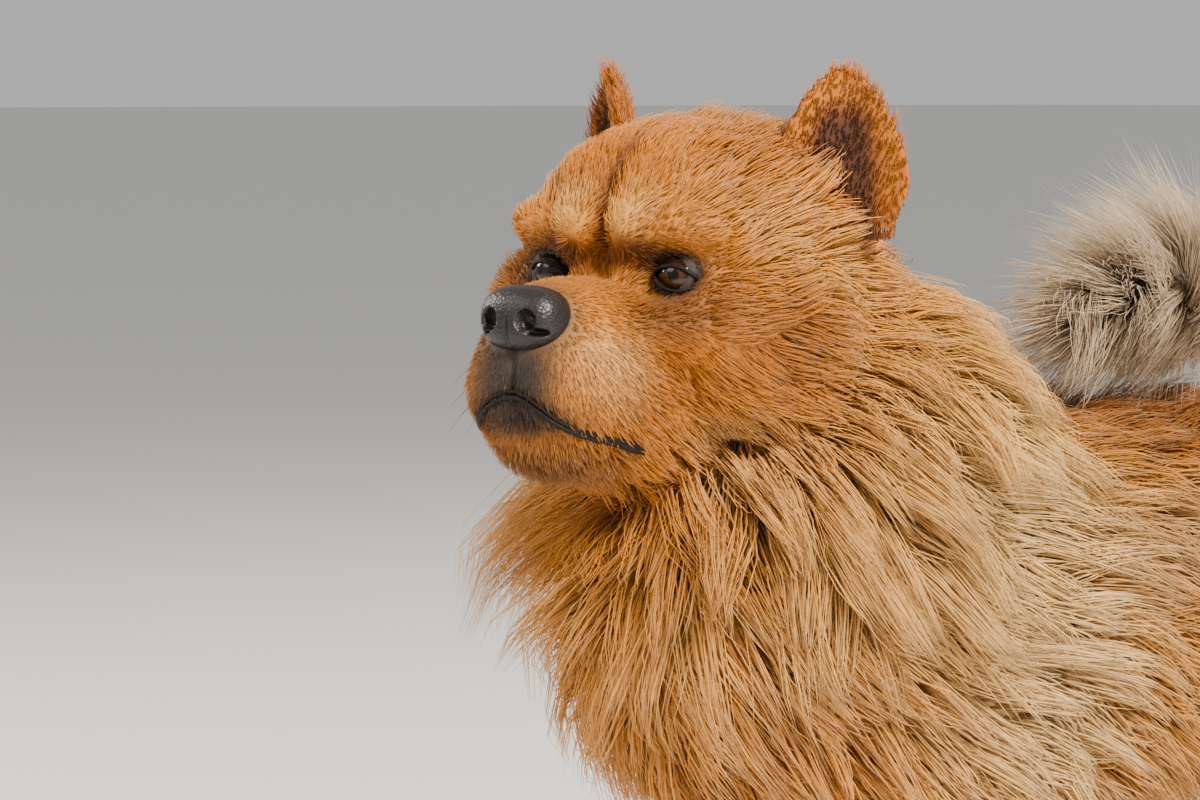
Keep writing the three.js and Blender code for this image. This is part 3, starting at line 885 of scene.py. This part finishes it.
# the skin gets the same painted shade, darker than the hair, as if deep under the coat
skin_group.inputs["Along"].default_value = 0.35
skin_group.inputs["Painted Root Shade"].default_value = 0.5
skin_place = node(skin_tree, "ShaderNodeTexCoord")
nap = noise(skin_tree, 900, 4)
link(skin_tree, skin_place.outputs["Object"], nap.inputs["Vector"])
link(skin_tree, nap.outputs["Fac"], skin_group.inputs["Tuft"])
link(skin_tree, skin_marks.outputs["Color"], skin_group.inputs["Marking And Painted Light"])
link(skin_tree, skin_group.outputs["Colour"], skin_shader.inputs["Base Color"])
bump(skin_tree, nap.outputs["Fac"], skin_shader, 0.6, 0.0006)
skin_mesh.materials.append(skin_finish)
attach(skin_object, "root")
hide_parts("head", "neck", "torso", "tail", "ear_left", "ear_right", "foreleg_left", "foreleg_right",
            "hindleg_left", "hindleg_right", "forepaw_left", "forepaw_right", "hindpaw_left", "hindpaw_right")
print("finishes", short_hair.name, long_hair.name, skin_finish.name)

# %% [markdown]
# Hair grows away from the nose over the face, then back and down over the body, and along the
# tail. A direction for every place comes from those three rules, mixed by part. A little smooth
# swirl keeps it from looking combed.

# %% Size and lie of the hair by part
# length, share of it that stands up, width and room for each tuft (square millimetres)
HAIR = np.array([
    [20, 0.46, 1.0, 3.0],   # head, with its length from head_fur
    [74, 0.54, 1.1, 2.6],   # neck
    [66, 0.46, 1.5, 11.0],  # torso
    [60, 0.44, 1.6, 12.0],  # thigh
    [64, 0.48, 1.4, 7.5],   # shoulder
    [40, 0.48, 1.4, 9.0],   # hock
    [40, 0.48, 1.4, 9.0],   # forearm
    [102, 0.54, 1.0, 2.0],  # tail
    [16, 0.44, 1.1, 4.6],   # paw
])
EAR_HAIR = np.array([13, 0.42, 0.95, 3.2])
SHORT_FUR = 14
tail_line = lengths["tail"][0]


def hair_size(p, shares, ear):
    """Length, share that stands, width and room of the tufts at points of the dog."""
    q = dog_to_head(p)
    size = shares @ HAIR
    size[:, 0] += shares[:, 0] * (head_fur(q) - HAIR[0, 0])
    wide = np.interp(head_fur(q), [3, 8, 20, 45], [0.65, 0.85, 1.0, 1.2])
    size[:, 2] += shares[:, 0] * (wide - HAIR[0, 2])
    room = np.interp(head_fur(q), [3, 8, 20, 45], [1.2, 1.7, 2.8, 5.0])
    size[:, 3] += shares[:, 0] * (room - HAIR[0, 3])
    bib = np.exp(-(((p - [-15, -300, 430]) / [150, 80, 80]) ** 2).sum(1)) * shares[:, 1]
    throat = np.exp(-(((p - [0, -315, 462]) / [120, 50, 34]) ** 2).sum(1)) * shares[:, 1]
    jaw = ramp(-q[:, 2], 74, 104) * shares[:, 0]
    size[:, 0] *= 1 + 0.4 * bib
    size[:, 1] += 0.2 * bib + 0.2 * jaw + 0.15 * throat
    size[:, 0] *= 1 - 0.35 * ramp(p[:, 1], 200, 250) * shares[:, 2]
    return size + (EAR_HAIR - size) * ear[:, None]


def swirl(p, scale, seed):
    """A smooth wandering value between about -1 and 1."""
    a = np.sin(p[:, 0] / scale + seed) + np.sin(p[:, 1] / scale * 1.3 + 2 * seed + p[:, 2] / scale * 0.7)
    b = np.sin(p[:, 2] / scale * 1.1 - seed + p[:, 0] / scale * 0.6)
    c = np.sin((p[:, 1] - p[:, 2]) / scale * 0.8 + 3 * seed)
    return (a + (b + c)) / 3


def hair_way(p, shares, ear, normals, locks):
    """The direction in which the hair lies, along the skin."""
    q = dog_to_head(p)
    on_head = unit(q - NOSE_AT) + np.array([0, 0.1, -0.2]) * ramp(-q[:, 2], 0, 60)[:, None]
    on_head = unit(on_head) @ HEAD_TURNED.T
    body = unit(np.array([0, 0.85, -0.55])) * np.ones((len(p), 1))
    leg = unit(np.array([0, 0.25, -1])) * np.ones((len(p), 1))
    middle, ahead, *_ = tail_line.rings
    nearest = ((p[:, None, :] - middle[None]) ** 2).sum(2).argmin(1)
    ruff = 0.75 * unit(p - [20, -275, 495]) + np.array([0, 0.3, -0.55])
    parts = {"head": on_head, "neck": ruff, "tail": ahead[nearest], "hock": leg, "forearm": leg}
    way = np.zeros_like(p)
    for i, part in enumerate(PARTS):
        way += shares[:, i : i + 1] * parts.get(part, body)
    ear_way = unit(EAR_RISE) @ HEAD_TURNED.T
    way = way + (ear_way - way) * ear[:, None]
    way = unit(way - normals * (way * normals).sum(1, keepdims=True))
    turn = 0.3 * swirl(p, 42, 1.0) + 0.2 * swirl(p, 15, 2.0) + 0.16 * locks
    turn = turn * (1 - 0.5 * shares[:, 0]) + rng.normal(0, 0.1, len(p))
    side = np.cross(way, normals)
    return unit(way * np.cos(turn)[:, None] + side * np.sin(turn)[:, None])


print("hair on the ruff", HAIR[1, 0], "mm long")


# %% [markdown]
# Tens of thousands of tufts are too many for operators one by one, so they are drawn as arrays:
# each is a closed, flat taper of three sides that rises from the skin, bends over along its lie
# and ends in a point. Roots are spread by area, closer together where the fur is short.

# %% Spread the roots over the skin
corner = skin_points[triangles]
area = np.linalg.norm(np.cross(corner[:, 1] - corner[:, 0], corner[:, 2] - corner[:, 0]), axis=1) / 2
centre_size = hair_size(corner.mean(1), skin_shares[triangles].mean(1), is_ear[triangles].mean(1))
room = centre_size[:, 3]
face_q = dog_to_head(corner.mean(1))
near_eyeball = np.linalg.norm(on_left(face_q) - EYE_AT, axis=1) < EYE_REGION
bare = (lid_opening(face_q) > -0.25) & near_eyeball
bare |= on_mouth(face_q) < 2.0
bare |= outside(face_q, NOSE_AT, NOSE_RADII + 1) < 0
bare |= corner.mean(1)[:, 2] < 3
weight = np.where(bare, 0, area / room)
COAT_TRIANGLES = 1460000
SHORT_COST = 10
LONG_COST = 16
cost = np.where(centre_size[:, 0] < SHORT_FUR, SHORT_COST, LONG_COST)
total = np.cumsum(weight)
TUFTS = int(COAT_TRIANGLES * total[-1] / (weight * cost).sum())
picks = (np.arange(TUFTS) + rng.random(TUFTS)) / TUFTS * total[-1]
home = np.minimum(np.searchsorted(total, picks), count - 1)
mix = rng.random((TUFTS, 2))
flip = mix.sum(1) > 1
mix[flip] = 1 - mix[flip]
mix = np.column_stack([1 - mix.sum(1), mix])


def at_root(values):
    return np.einsum("nc,nc...->n...", mix, values[triangles[home]])


root = at_root(skin_points)
normal = unit(at_root(skin_normals))
shares = at_root(skin_shares)
ear = at_root(is_ear)
root_uv = np.einsum("nc,nci->ni", mix, corner_uv[home])
print("tufts", TUFTS, "for", round(total[-1]), "rooms")

# %% [markdown]
# Long hair hangs together in locks that end in points. About one tuft in thirty leads those
# nearest to it: they share its turn and its wave, and lean towards its tip.

# %% Find the leader of each lock
size = hair_size(root, shares, ear)
leaders = np.nonzero(rng.random(TUFTS) < np.clip(size[:, 3] / 190, 0.012, 0.06))[0]
lock_tree = KDTree(len(leaders))
for i, leader in enumerate(leaders):
    lock_tree.insert(root[leader].tolist(), i)
lock_tree.balance()
leader_of = np.array([leaders[lock_tree.find(r)[1]] for r in root.tolist()])
apart = np.linalg.norm(root[leader_of] - root, axis=1)
lock = rng.normal(0, 1, (TUFTS, 3))[leader_of]
print("locks", len(leaders))

# %% Bend every tuft along its lie
STEPS = 4
way = hair_way(root, shares, ear, normal, lock[:, 0] * ramp(size[:, 0], 12, 45))
lock_long = 1 + 0.1 * np.clip(lock[:, 1], -2, 2) * ramp(size[:, 0], 15, 50)
long = size[:, 0] * rng.uniform(0.7, 1.16, TUFTS) * lock_long
under = rng.random(TUFTS) < 0.38 * ramp(size[:, 0], 20, 50)
long = np.where(under, long * 0.5, long)
wide = size[:, 2] * rng.uniform(0.75, 1.25, TUFTS) * np.where(under, 1.6, 1)
stand = np.clip(size[:, 1] * rng.uniform(0.75, 1.2, TUFTS), 0.1, 0.95)
tall = long * stand
reach = np.sqrt(long**2 - tall**2)
skin_beneath = BVHTree.FromPolygons(skin_points.tolist(), triangles.tolist())
tips = root + way * reach[:, None]
above = np.zeros(TUFTS)
for i, tip in enumerate(tips.tolist()):
    hit, facing, _, _ = skin_beneath.find_nearest(tip)
    above[i] = (Vector(tip) - hit).dot(facing)
fan = shares[:, PARTS.index("tail")]
above = np.where((fan > 0.5) | (ear > 0.5), 0, np.clip(above, -0.5 * long, 0.9 * long))
side = np.cross(way, normal)
sway = (0.7 * lock[:, 2] + 0.5 * swirl(root, 11, 4.0) + rng.normal(0, 0.3, TUFTS)) * long * 0.045
droop = ramp(long, 30, 90) * 0.1 * long
spine = []
for step in range(STEPS):
    u = step / (STEPS - 1)
    bent = math.sin(u * math.pi / 2) ** 0.85
    lift = tall * (bent * (1 - fan) + u * fan) - above * u**2
    p = root - normal * 1.2 + way * (reach * u**1.1)[:, None] + normal * lift[:, None]
    p = p + side * (sway * math.sin(u * 4.4))[:, None]
    p[:, 2] -= droop * u**2 * (1 - fan)
    spine.append(p)
spine = np.array(spine)
print("longest tuft", long.max().round(1), "mm")

# %% Draw neighbours together into locks
pull = np.interp(long, [6, 20, 60, 100], [0.05, 0.3, 0.7, 0.75])
pull = pull * (1 - ramp(apart, 20, 34)) * (1 - 0.4 * fan)
for step in range(STEPS):
    u = step / (STEPS - 1)
    gather = (spine[step][leader_of] - spine[step]) * (pull * u**1.2)[:, None]
    spine[step] = spine[step] + gather
spine[:, :, 2] = np.maximum(spine[:, :, 2], 0.6)
print("tips gathered by up to", pull.max().round(2))

# %% Colour each tuft by the markings and painted light at its root
tuft_colour = markings_and_painted_light(root, shares, ear)
tuft_value = np.clip(rng.normal(0.5, 0.2, TUFTS), 0, 1)
tuft_value = np.clip(0.5 * tuft_value + 0.5 * tuft_value[leader_of], 0, 1)
seed = rng.random(TUFTS)
pale = rng.random(TUFTS)[:, None]
tuft_colour = tuft_colour * (0.84 + 0.3 * pale)
print("tuft colours", tuft_colour.mean(0).round(3))


# %% Turn a set of tufts into one mesh
PATCH = 0.003


def tuft_piece(name, chosen, finish, steps):
    n = len(chosen)
    line = spine[:, chosen]
    across = side[chosen]
    out = normal[chosen]
    thick = wide[chosen]
    rings = []
    along = []
    for step in steps[:-1]:
        u = step / (STEPS - 1)
        half = thick * 0.5 * (1 - 0.85 * u)
        rings += [line[step] - across * half[:, None], line[step] + across * half[:, None],
                  line[step] + out * (half * 0.8)[:, None]]
        along += [u] * 3
    rings.append(line[STEPS - 1])
    along.append(1)
    per = len(rings)
    points = in_model(np.stack(rings, 1).reshape(-1, 3))
    faces = []
    for step in range(len(steps) - 2):
        low = 3 * step
        for i, j in ((2, 1), (1, 0), (0, 2)):
            faces.append((low + i, low + j, low + 3 + j, low + 3 + i))
    last = 3 * (len(steps) - 2)
    faces += [(last + 2, last + 1, per - 1), (last + 1, last, per - 1), (last, last + 2, per - 1), (0, 1, 2)]
    pattern = np.array([v for f in faces for v in f])
    starts = np.cumsum([0] + [len(f) for f in faces])[:-1]
    loops = (np.arange(n)[:, None] * per + pattern[None]).ravel()
    mesh = bpy.data.meshes.new(name)
    mesh.vertices.add(len(points))
    mesh.vertices.foreach_set("co", points.ravel())
    mesh.loops.add(len(loops))
    mesh.loops.foreach_set("vertex_index", loops)
    mesh.polygons.add(n * len(faces))
    mesh.polygons.foreach_set("loop_start", (np.arange(n)[:, None] * len(pattern) + starts[None]).ravel())
    mesh.polygons.foreach_set("use_smooth", np.ones(n * len(faces), bool))
    mesh.update(calc_edges=True)
    spread = np.array([[(-0.5, 0.5, 0)[i % 3] if i < per - 1 else 0, along[i] - 0.5] for i in pattern])
    uv_points = root_uv[chosen][:, None, :] + spread[None] * PATCH
    mesh.uv_layers.new(name="OFBake").uv.foreach_set("vector", uv_points.ravel())
    set_colour(mesh, "coat", np.repeat(tuft_colour[chosen], per, axis=0))
    set_number(mesh, "along", np.tile(along, n))
    set_number(mesh, "tuft", np.repeat(tuft_value[chosen], per))
    over = np.array([(-0.5, 0.5, 0)[i % 3] if i < per - 1 else 0 for i in range(per)])
    set_number(mesh, "streak", (seed[chosen][:, None] * 91 + over * 3.2).ravel())
    mesh.materials.append(finish)
    obj = add_object(name, mesh)
    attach(obj, "root")
    return n * (SHORT_COST if len(steps) == 3 else LONG_COST)


LONG_STEPS = (0, 1, 2, 3)
SHORT_STEPS = (0, 2, 3)
PIECE_TRIANGLES = 190000
main_part = shares.argmax(1)
GROUPS = {"face": "red_coat", "cheeks": "red_coat", "ears": "dark_coat", "ruff": "cream_coat",
          "back": "red_coat", "legs": "red_coat", "paws": "red_coat", "tail": "grey_coat"}
face_share = (main_part == 0) & (ear < 0.5)
short = size[:, 0] < SHORT_FUR
chosen_by = {
    "face": face_share & short,
    "cheeks": face_share & ~short,
    "ears": ear >= 0.5,
    "ruff": (main_part == 1) & (ear < 0.5),
    "back": (main_part == 2) & (ear < 0.5),
    "legs": np.isin(main_part, [3, 4, 5, 6]) & (ear < 0.5),
    "paws": (main_part == 8) & (ear < 0.5),
    "tail": (main_part == 7) & (ear < 0.5),
}
coat_triangles = 0
for group_name, slot in GROUPS.items():
    chosen = np.nonzero(chosen_by[group_name])[0]
    chosen = chosen[np.argsort(root[chosen][:, 1])]
    brief = group_name in ("face", "ears", "paws")
    pieces = math.ceil(len(chosen) * (SHORT_COST if brief else LONG_COST) / PIECE_TRIANGLES)
    for i, block in enumerate(np.array_split(chosen, pieces)):
        finish = short_hair if brief else tail_hair if group_name == "tail" else long_hair
        steps = SHORT_STEPS if brief else LONG_STEPS
        coat_triangles += tuft_piece(f"coat_{group_name}_{i + 1}", block, finish, steps)
    print(group_name, len(chosen), "tufts in", pieces, "pieces")
print("coat triangles", coat_triangles)

# %% [markdown]
# The eyes are small, dark and almond-shaped, set deep under the brow. Each is a ball with a
# dark amber iris and a wet gloss. A dark rim of lid, like a drawn line, follows the opening.


# %% Eyes
def finish_piece(name, shape, finish, replaced=()):
    mesh = bpy.data.meshes.new(name)
    shape.to_mesh(mesh)
    shape.free()
    mesh.polygons.foreach_set("use_smooth", np.ones(len(mesh.polygons), bool))
    mesh.materials.append(finish)
    obj = add_object(name, mesh)
    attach(obj, "root")
    if replaced:
        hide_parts(*replaced)
    return mesh


eye_finish, eye_tree, eye_shader = new_finish("wet_eye", 0.08)
iris_spot = node(eye_tree, "ShaderNodeAttribute", attribute_name="iris")
iris_ramp = node(eye_tree, "ShaderNodeValToRGB")
stops = iris_ramp.color_ramp.elements
stops[0].position = 0.0
stops[0].color = (0.002, 0.0015, 0.001, 1)
stops[1].position = 1.0
stops[1].color = (0.012, 0.006, 0.004, 1)
for position, colour in [(0.26, (0.003, 0.002, 0.001, 1)), (0.31, (0.045, 0.017, 0.005, 1)),
                         (0.52, (0.028, 0.011, 0.004, 1)), (0.62, (0.012, 0.006, 0.003, 1))]:
    stop = iris_ramp.color_ramp.elements.new(position)
    stop.color = colour
fibre = node(eye_tree, "ShaderNodeTexNoise")
fibre.inputs["Scale"].default_value = 700
eye_place = node(eye_tree, "ShaderNodeTexCoord")
link(eye_tree, eye_place.outputs["Object"], fibre.inputs["Vector"])
stir = node(eye_tree, "ShaderNodeMath", operation="MULTIPLY_ADD")
stir.inputs[1].default_value = 0.08
link(eye_tree, fibre.outputs["Fac"], stir.inputs[0])
link(eye_tree, iris_spot.outputs["Fac"], stir.inputs[2])
link(eye_tree, stir.outputs[0], iris_ramp.inputs["Fac"])
link(eye_tree, iris_ramp.outputs["Color"], eye_shader.inputs["Base Color"])
eye_shader.inputs["Coat Weight"].default_value = 0.25
eye_shader.inputs["Specular IOR Level"].default_value = 0.25
eye_shader.inputs["Coat Roughness"].default_value = 0.03
for side_name, side_sign in (("left", 1), ("right", -1)):
    ball = bmesh.new()
    made = bmesh.ops.create_uvsphere(ball, u_segments=48, v_segments=32, radius=1)
    shape = np.array([v.co for v in made["verts"]])
    facing = unit(np.array([side_sign * math.sin(EYE_TURN), -math.cos(EYE_TURN), 0.02]))
    cornea = 1 + 0.035 * ramp(shape @ facing, 0.75, 1)
    middle = EYE_AT * np.array([side_sign, 1, 1])
    shaped = in_model(head_to_dog(middle + shape * EYE_RADIUS * cornea[:, None]))
    for v, p in zip(made["verts"], shaped):
        v.co = p
    eye_mesh = finish_piece(f"eyeball_{side_name}", ball, eye_finish, (f"eye_{side_name}",))
    set_number(eye_mesh, "iris", np.arccos(np.clip(shape @ facing, -1, 1)))
print("eyes", EYE_RADIUS * 2, "mm across")


# %% [markdown]
# Lid rims, lips, claws and whiskers are all thin shapes along a line. A curve with a radius at
# each point draws them, and is turned into a mesh straight away.

# %% Tubes along a line
def tubes(name, lines, finish, cyclic=False, sides=2):
    """Joined tubes; each line holds points (dog's frame) with a radius in millimetres."""
    curve = bpy.data.curves.new(name, "CURVE")
    curve.dimensions = "3D"
    curve.bevel_depth = 1.0
    curve.bevel_resolution = sides
    curve.use_fill_caps = True
    for points, radii in lines:
        spline = curve.splines.new("POLY")
        spline.points.add(len(points) - 1)
        spline.points.foreach_set("co", np.column_stack([in_model(points), np.ones(len(points))]).ravel())
        spline.points.foreach_set("radius", np.asarray(radii, float) * MM)
        spline.use_cyclic_u = cyclic
    holder = add_object(name + "_line", curve)
    mesh = bpy.data.meshes.new_from_object(holder.evaluated_get(bpy.context.evaluated_depsgraph_get()))
    bpy.data.objects.remove(holder)
    shape = bmesh.new()
    shape.from_mesh(mesh)
    bmesh.ops.remove_doubles(shape, verts=shape.verts, dist=1e-6)
    bmesh.ops.recalc_face_normals(shape, faces=shape.faces)
    return finish_piece(name, shape, finish)


def wet_skin_finish(name, colour, roughness, grain, shine=0.5):
    made, tree, shader = new_finish(name, roughness)
    shader.inputs["Specular IOR Level"].default_value = shine
    where = node(tree, "ShaderNodeTexCoord")
    pebble = node(tree, "ShaderNodeTexVoronoi")
    pebble.inputs["Scale"].default_value = grain
    tint = node(tree, "ShaderNodeValToRGB")
    tint.color_ramp.elements[0].color = (*[0.55 * c for c in colour], 1)
    tint.color_ramp.elements[1].color = (*[1.35 * c for c in colour], 1)
    link(tree, where.outputs["Object"], pebble.inputs["Vector"])
    link(tree, pebble.outputs["Distance"], tint.inputs["Fac"])
    link(tree, tint.outputs["Color"], shader.inputs["Base Color"])
    bump(tree, pebble.outputs["Distance"], shader, 0.45, 0.0006)
    return made


nose_finish = wet_skin_finish("nose_leather", (0.012, 0.010, 0.010), 0.4, 620, 0.4)
lip_finish = wet_skin_finish("lip_skin", (0.012, 0.008, 0.007), 0.6, 500, 0.15)
claw_finish = wet_skin_finish("claw_horn", (0.045, 0.032, 0.024), 0.35, 260)

# %% Lids
lid_lines = []
for sign in (1, -1):
    t = np.linspace(0, 2 * math.pi, 72, endpoint=False)
    across = LID_WIDE / 2 * np.cos(t)
    high = np.sign(np.sin(t)) * LID_HIGH / 2 * (1 - np.cos(t) ** 2) ** 0.9
    a = across * math.cos(LID_SLANT) + high * math.sin(LID_SLANT)
    z = -across * math.sin(LID_SLANT) + high * math.cos(LID_SLANT)
    front = np.sqrt(np.maximum((EYE_RADIUS + 1.3) ** 2 - across**2 - high**2, 4))
    x = a * math.cos(EYE_TURN) + front * math.sin(EYE_TURN)
    y = a * math.sin(EYE_TURN) - front * math.cos(EYE_TURN)
    points = np.column_stack([sign * (EYE_AT[0] + x), EYE_AT[1] + y, EYE_AT[2] + z - LID_DROP])
    radii = np.where(np.sin(t) > 0, 1.15, 0.8)
    lid_lines.append((head_to_dog(points), radii))
tubes("lid_rims", lid_lines, lip_finish, cyclic=True)
print("lid opening", LID_WIDE, "by", LID_HIGH, "mm")

# %% [markdown]
# The nose is the darkest, wettest thing on the dog: a broad pad with a flat front, comma-shaped
# nostrils that run out to the sides, and a groove down its middle. A sphere squared off a
# little gives the pad, and its points are pushed back where the nostrils open.

# %% Nose
nose = bmesh.new()
made = bmesh.ops.create_uvsphere(nose, u_segments=128, v_segments=96, radius=1)
p = np.array([v.co for v in made["verts"]])[:, [0, 2, 1]] * np.array([1, -1, 1])
boxy = p * ((np.abs(p) ** 3).sum(1) ** -0.2)[:, None]
pad = boxy * NOSE_RADII + NOSE_AT
half = np.column_stack([np.abs(pad[:, 0]), pad[:, 1], pad[:, 2]])
NOSTRILS = [((11.5, -86, -27), (6.2, 13, 6.6)), ((18, -80, -32.5), (8.0, 8, 2.4))]
for centre, radii in NOSTRILS:
    off = (half - np.array(centre)) / np.array(radii)
    flat = np.clip(1 - off[:, 0] ** 2 - off[:, 2] ** 2, 0, None)
    floor_y = centre[1] + radii[1] * np.sqrt(flat)
    sink = (flat > 0) & (half[:, 1] < floor_y) & (half[:, 1] < NOSE_AT[1])
    half[:, 1] = np.where(sink, floor_y, half[:, 1])
groove = 1.6 * np.exp(-((pad[:, 0] / 1.3) ** 2)) * ramp(-pad[:, 2], 22, 28) * ramp(-pad[:, 1], 66, 74)
pad[:, 1] = half[:, 1] + groove
for v, at in zip(made["verts"], in_model(head_to_dog(pad))):
    v.co = at
bmesh.ops.recalc_face_normals(nose, faces=nose.faces)
finish_piece("nose_pad", nose, nose_finish, ("nose",))
print("nose", NOSE_RADII * 2, "mm")

# %% [markdown]
# The closed mouth shows as a dark line from under the nose to its corner below the eye. The
# lips are tubes laid along that line on the skin, thick towards the corner and thin in front.


# %% Lips
def along_mouth(drop, inset, count=60):
    """The line of the mouth laid on the fur's tips and sunk in by the inset."""
    share = np.linspace(0, 1, count)
    ways = unit(smooth_at(MOUTH - np.array([0, 0, drop]), share) - HEAD_HEART)
    return HEAD_HEART + ways * (surface(head_distance, ways) - inset)[:, None], share


upper, share = along_mouth(-0.5, 3.8)
lower, _ = along_mouth(3.0, 3.6)
corner_ness = np.abs(share * 2 - 1)
taper = np.clip((1 - corner_ness) * 12, 0.15, 1)
lip_lines = [
    (head_to_dog(upper), (0.9 + 0.9 * corner_ness**2) * taper),
    (head_to_dog(lower), (1.1 + 1.3 * corner_ness**2) * taper),
]
tubes("lips", lip_lines, lip_finish)
print("mouth", round(float(np.linalg.norm(np.diff(upper, axis=0), axis=1).sum())), "mm round")

# %% Claws and whiskers
claw_lines = []
for sign, y in PAW_PLACES:
    for off, ahead in TOES:
        t = np.linspace(0, 1, 7)
        x = sign * PAW_ACROSS + off + off * 0.06 * t
        front = y - ahead - 13 - 14 * t
        z = 13 - 2 * t - 7.5 * t**2
        claw_lines.append((np.column_stack([x, front, z]), 3.6 * (1 - t) ** 0.7 + 0.35))
tubes("claws", claw_lines, claw_finish, sides=3)
whisker_lines = []
whisker_finish = wet_skin_finish("whisker", (0.05, 0.035, 0.025), 0.4, 300)
for sign in (1, -1):
    for row in range(3):
        for i in range(4):
            start = np.array([sign * (30 + 2 * i), -58 + 9 * i, -44 - 8 * row])
            heading = unit(np.array([[sign * (0.75 + 0.06 * i), -0.15 + 0.3 * i, -0.25 - 0.12 * row]]))[0]
            near = start - 9 * heading * np.array([1, 0.4, 0.4])
            t = np.linspace(0, 1, 7)[:, None]
            span = 34 + 5 * i + rng.uniform(-4, 4)
            line = near + heading * span * t + np.array([0, 4, -9]) * t**2
            whisker_lines.append((head_to_dog(line), 0.28 * (1 - t[:, 0]) + 0.05))
tubes("whiskers", whisker_lines, whisker_finish, sides=1)
print("claws", len(claw_lines), "whiskers", len(whisker_lines))
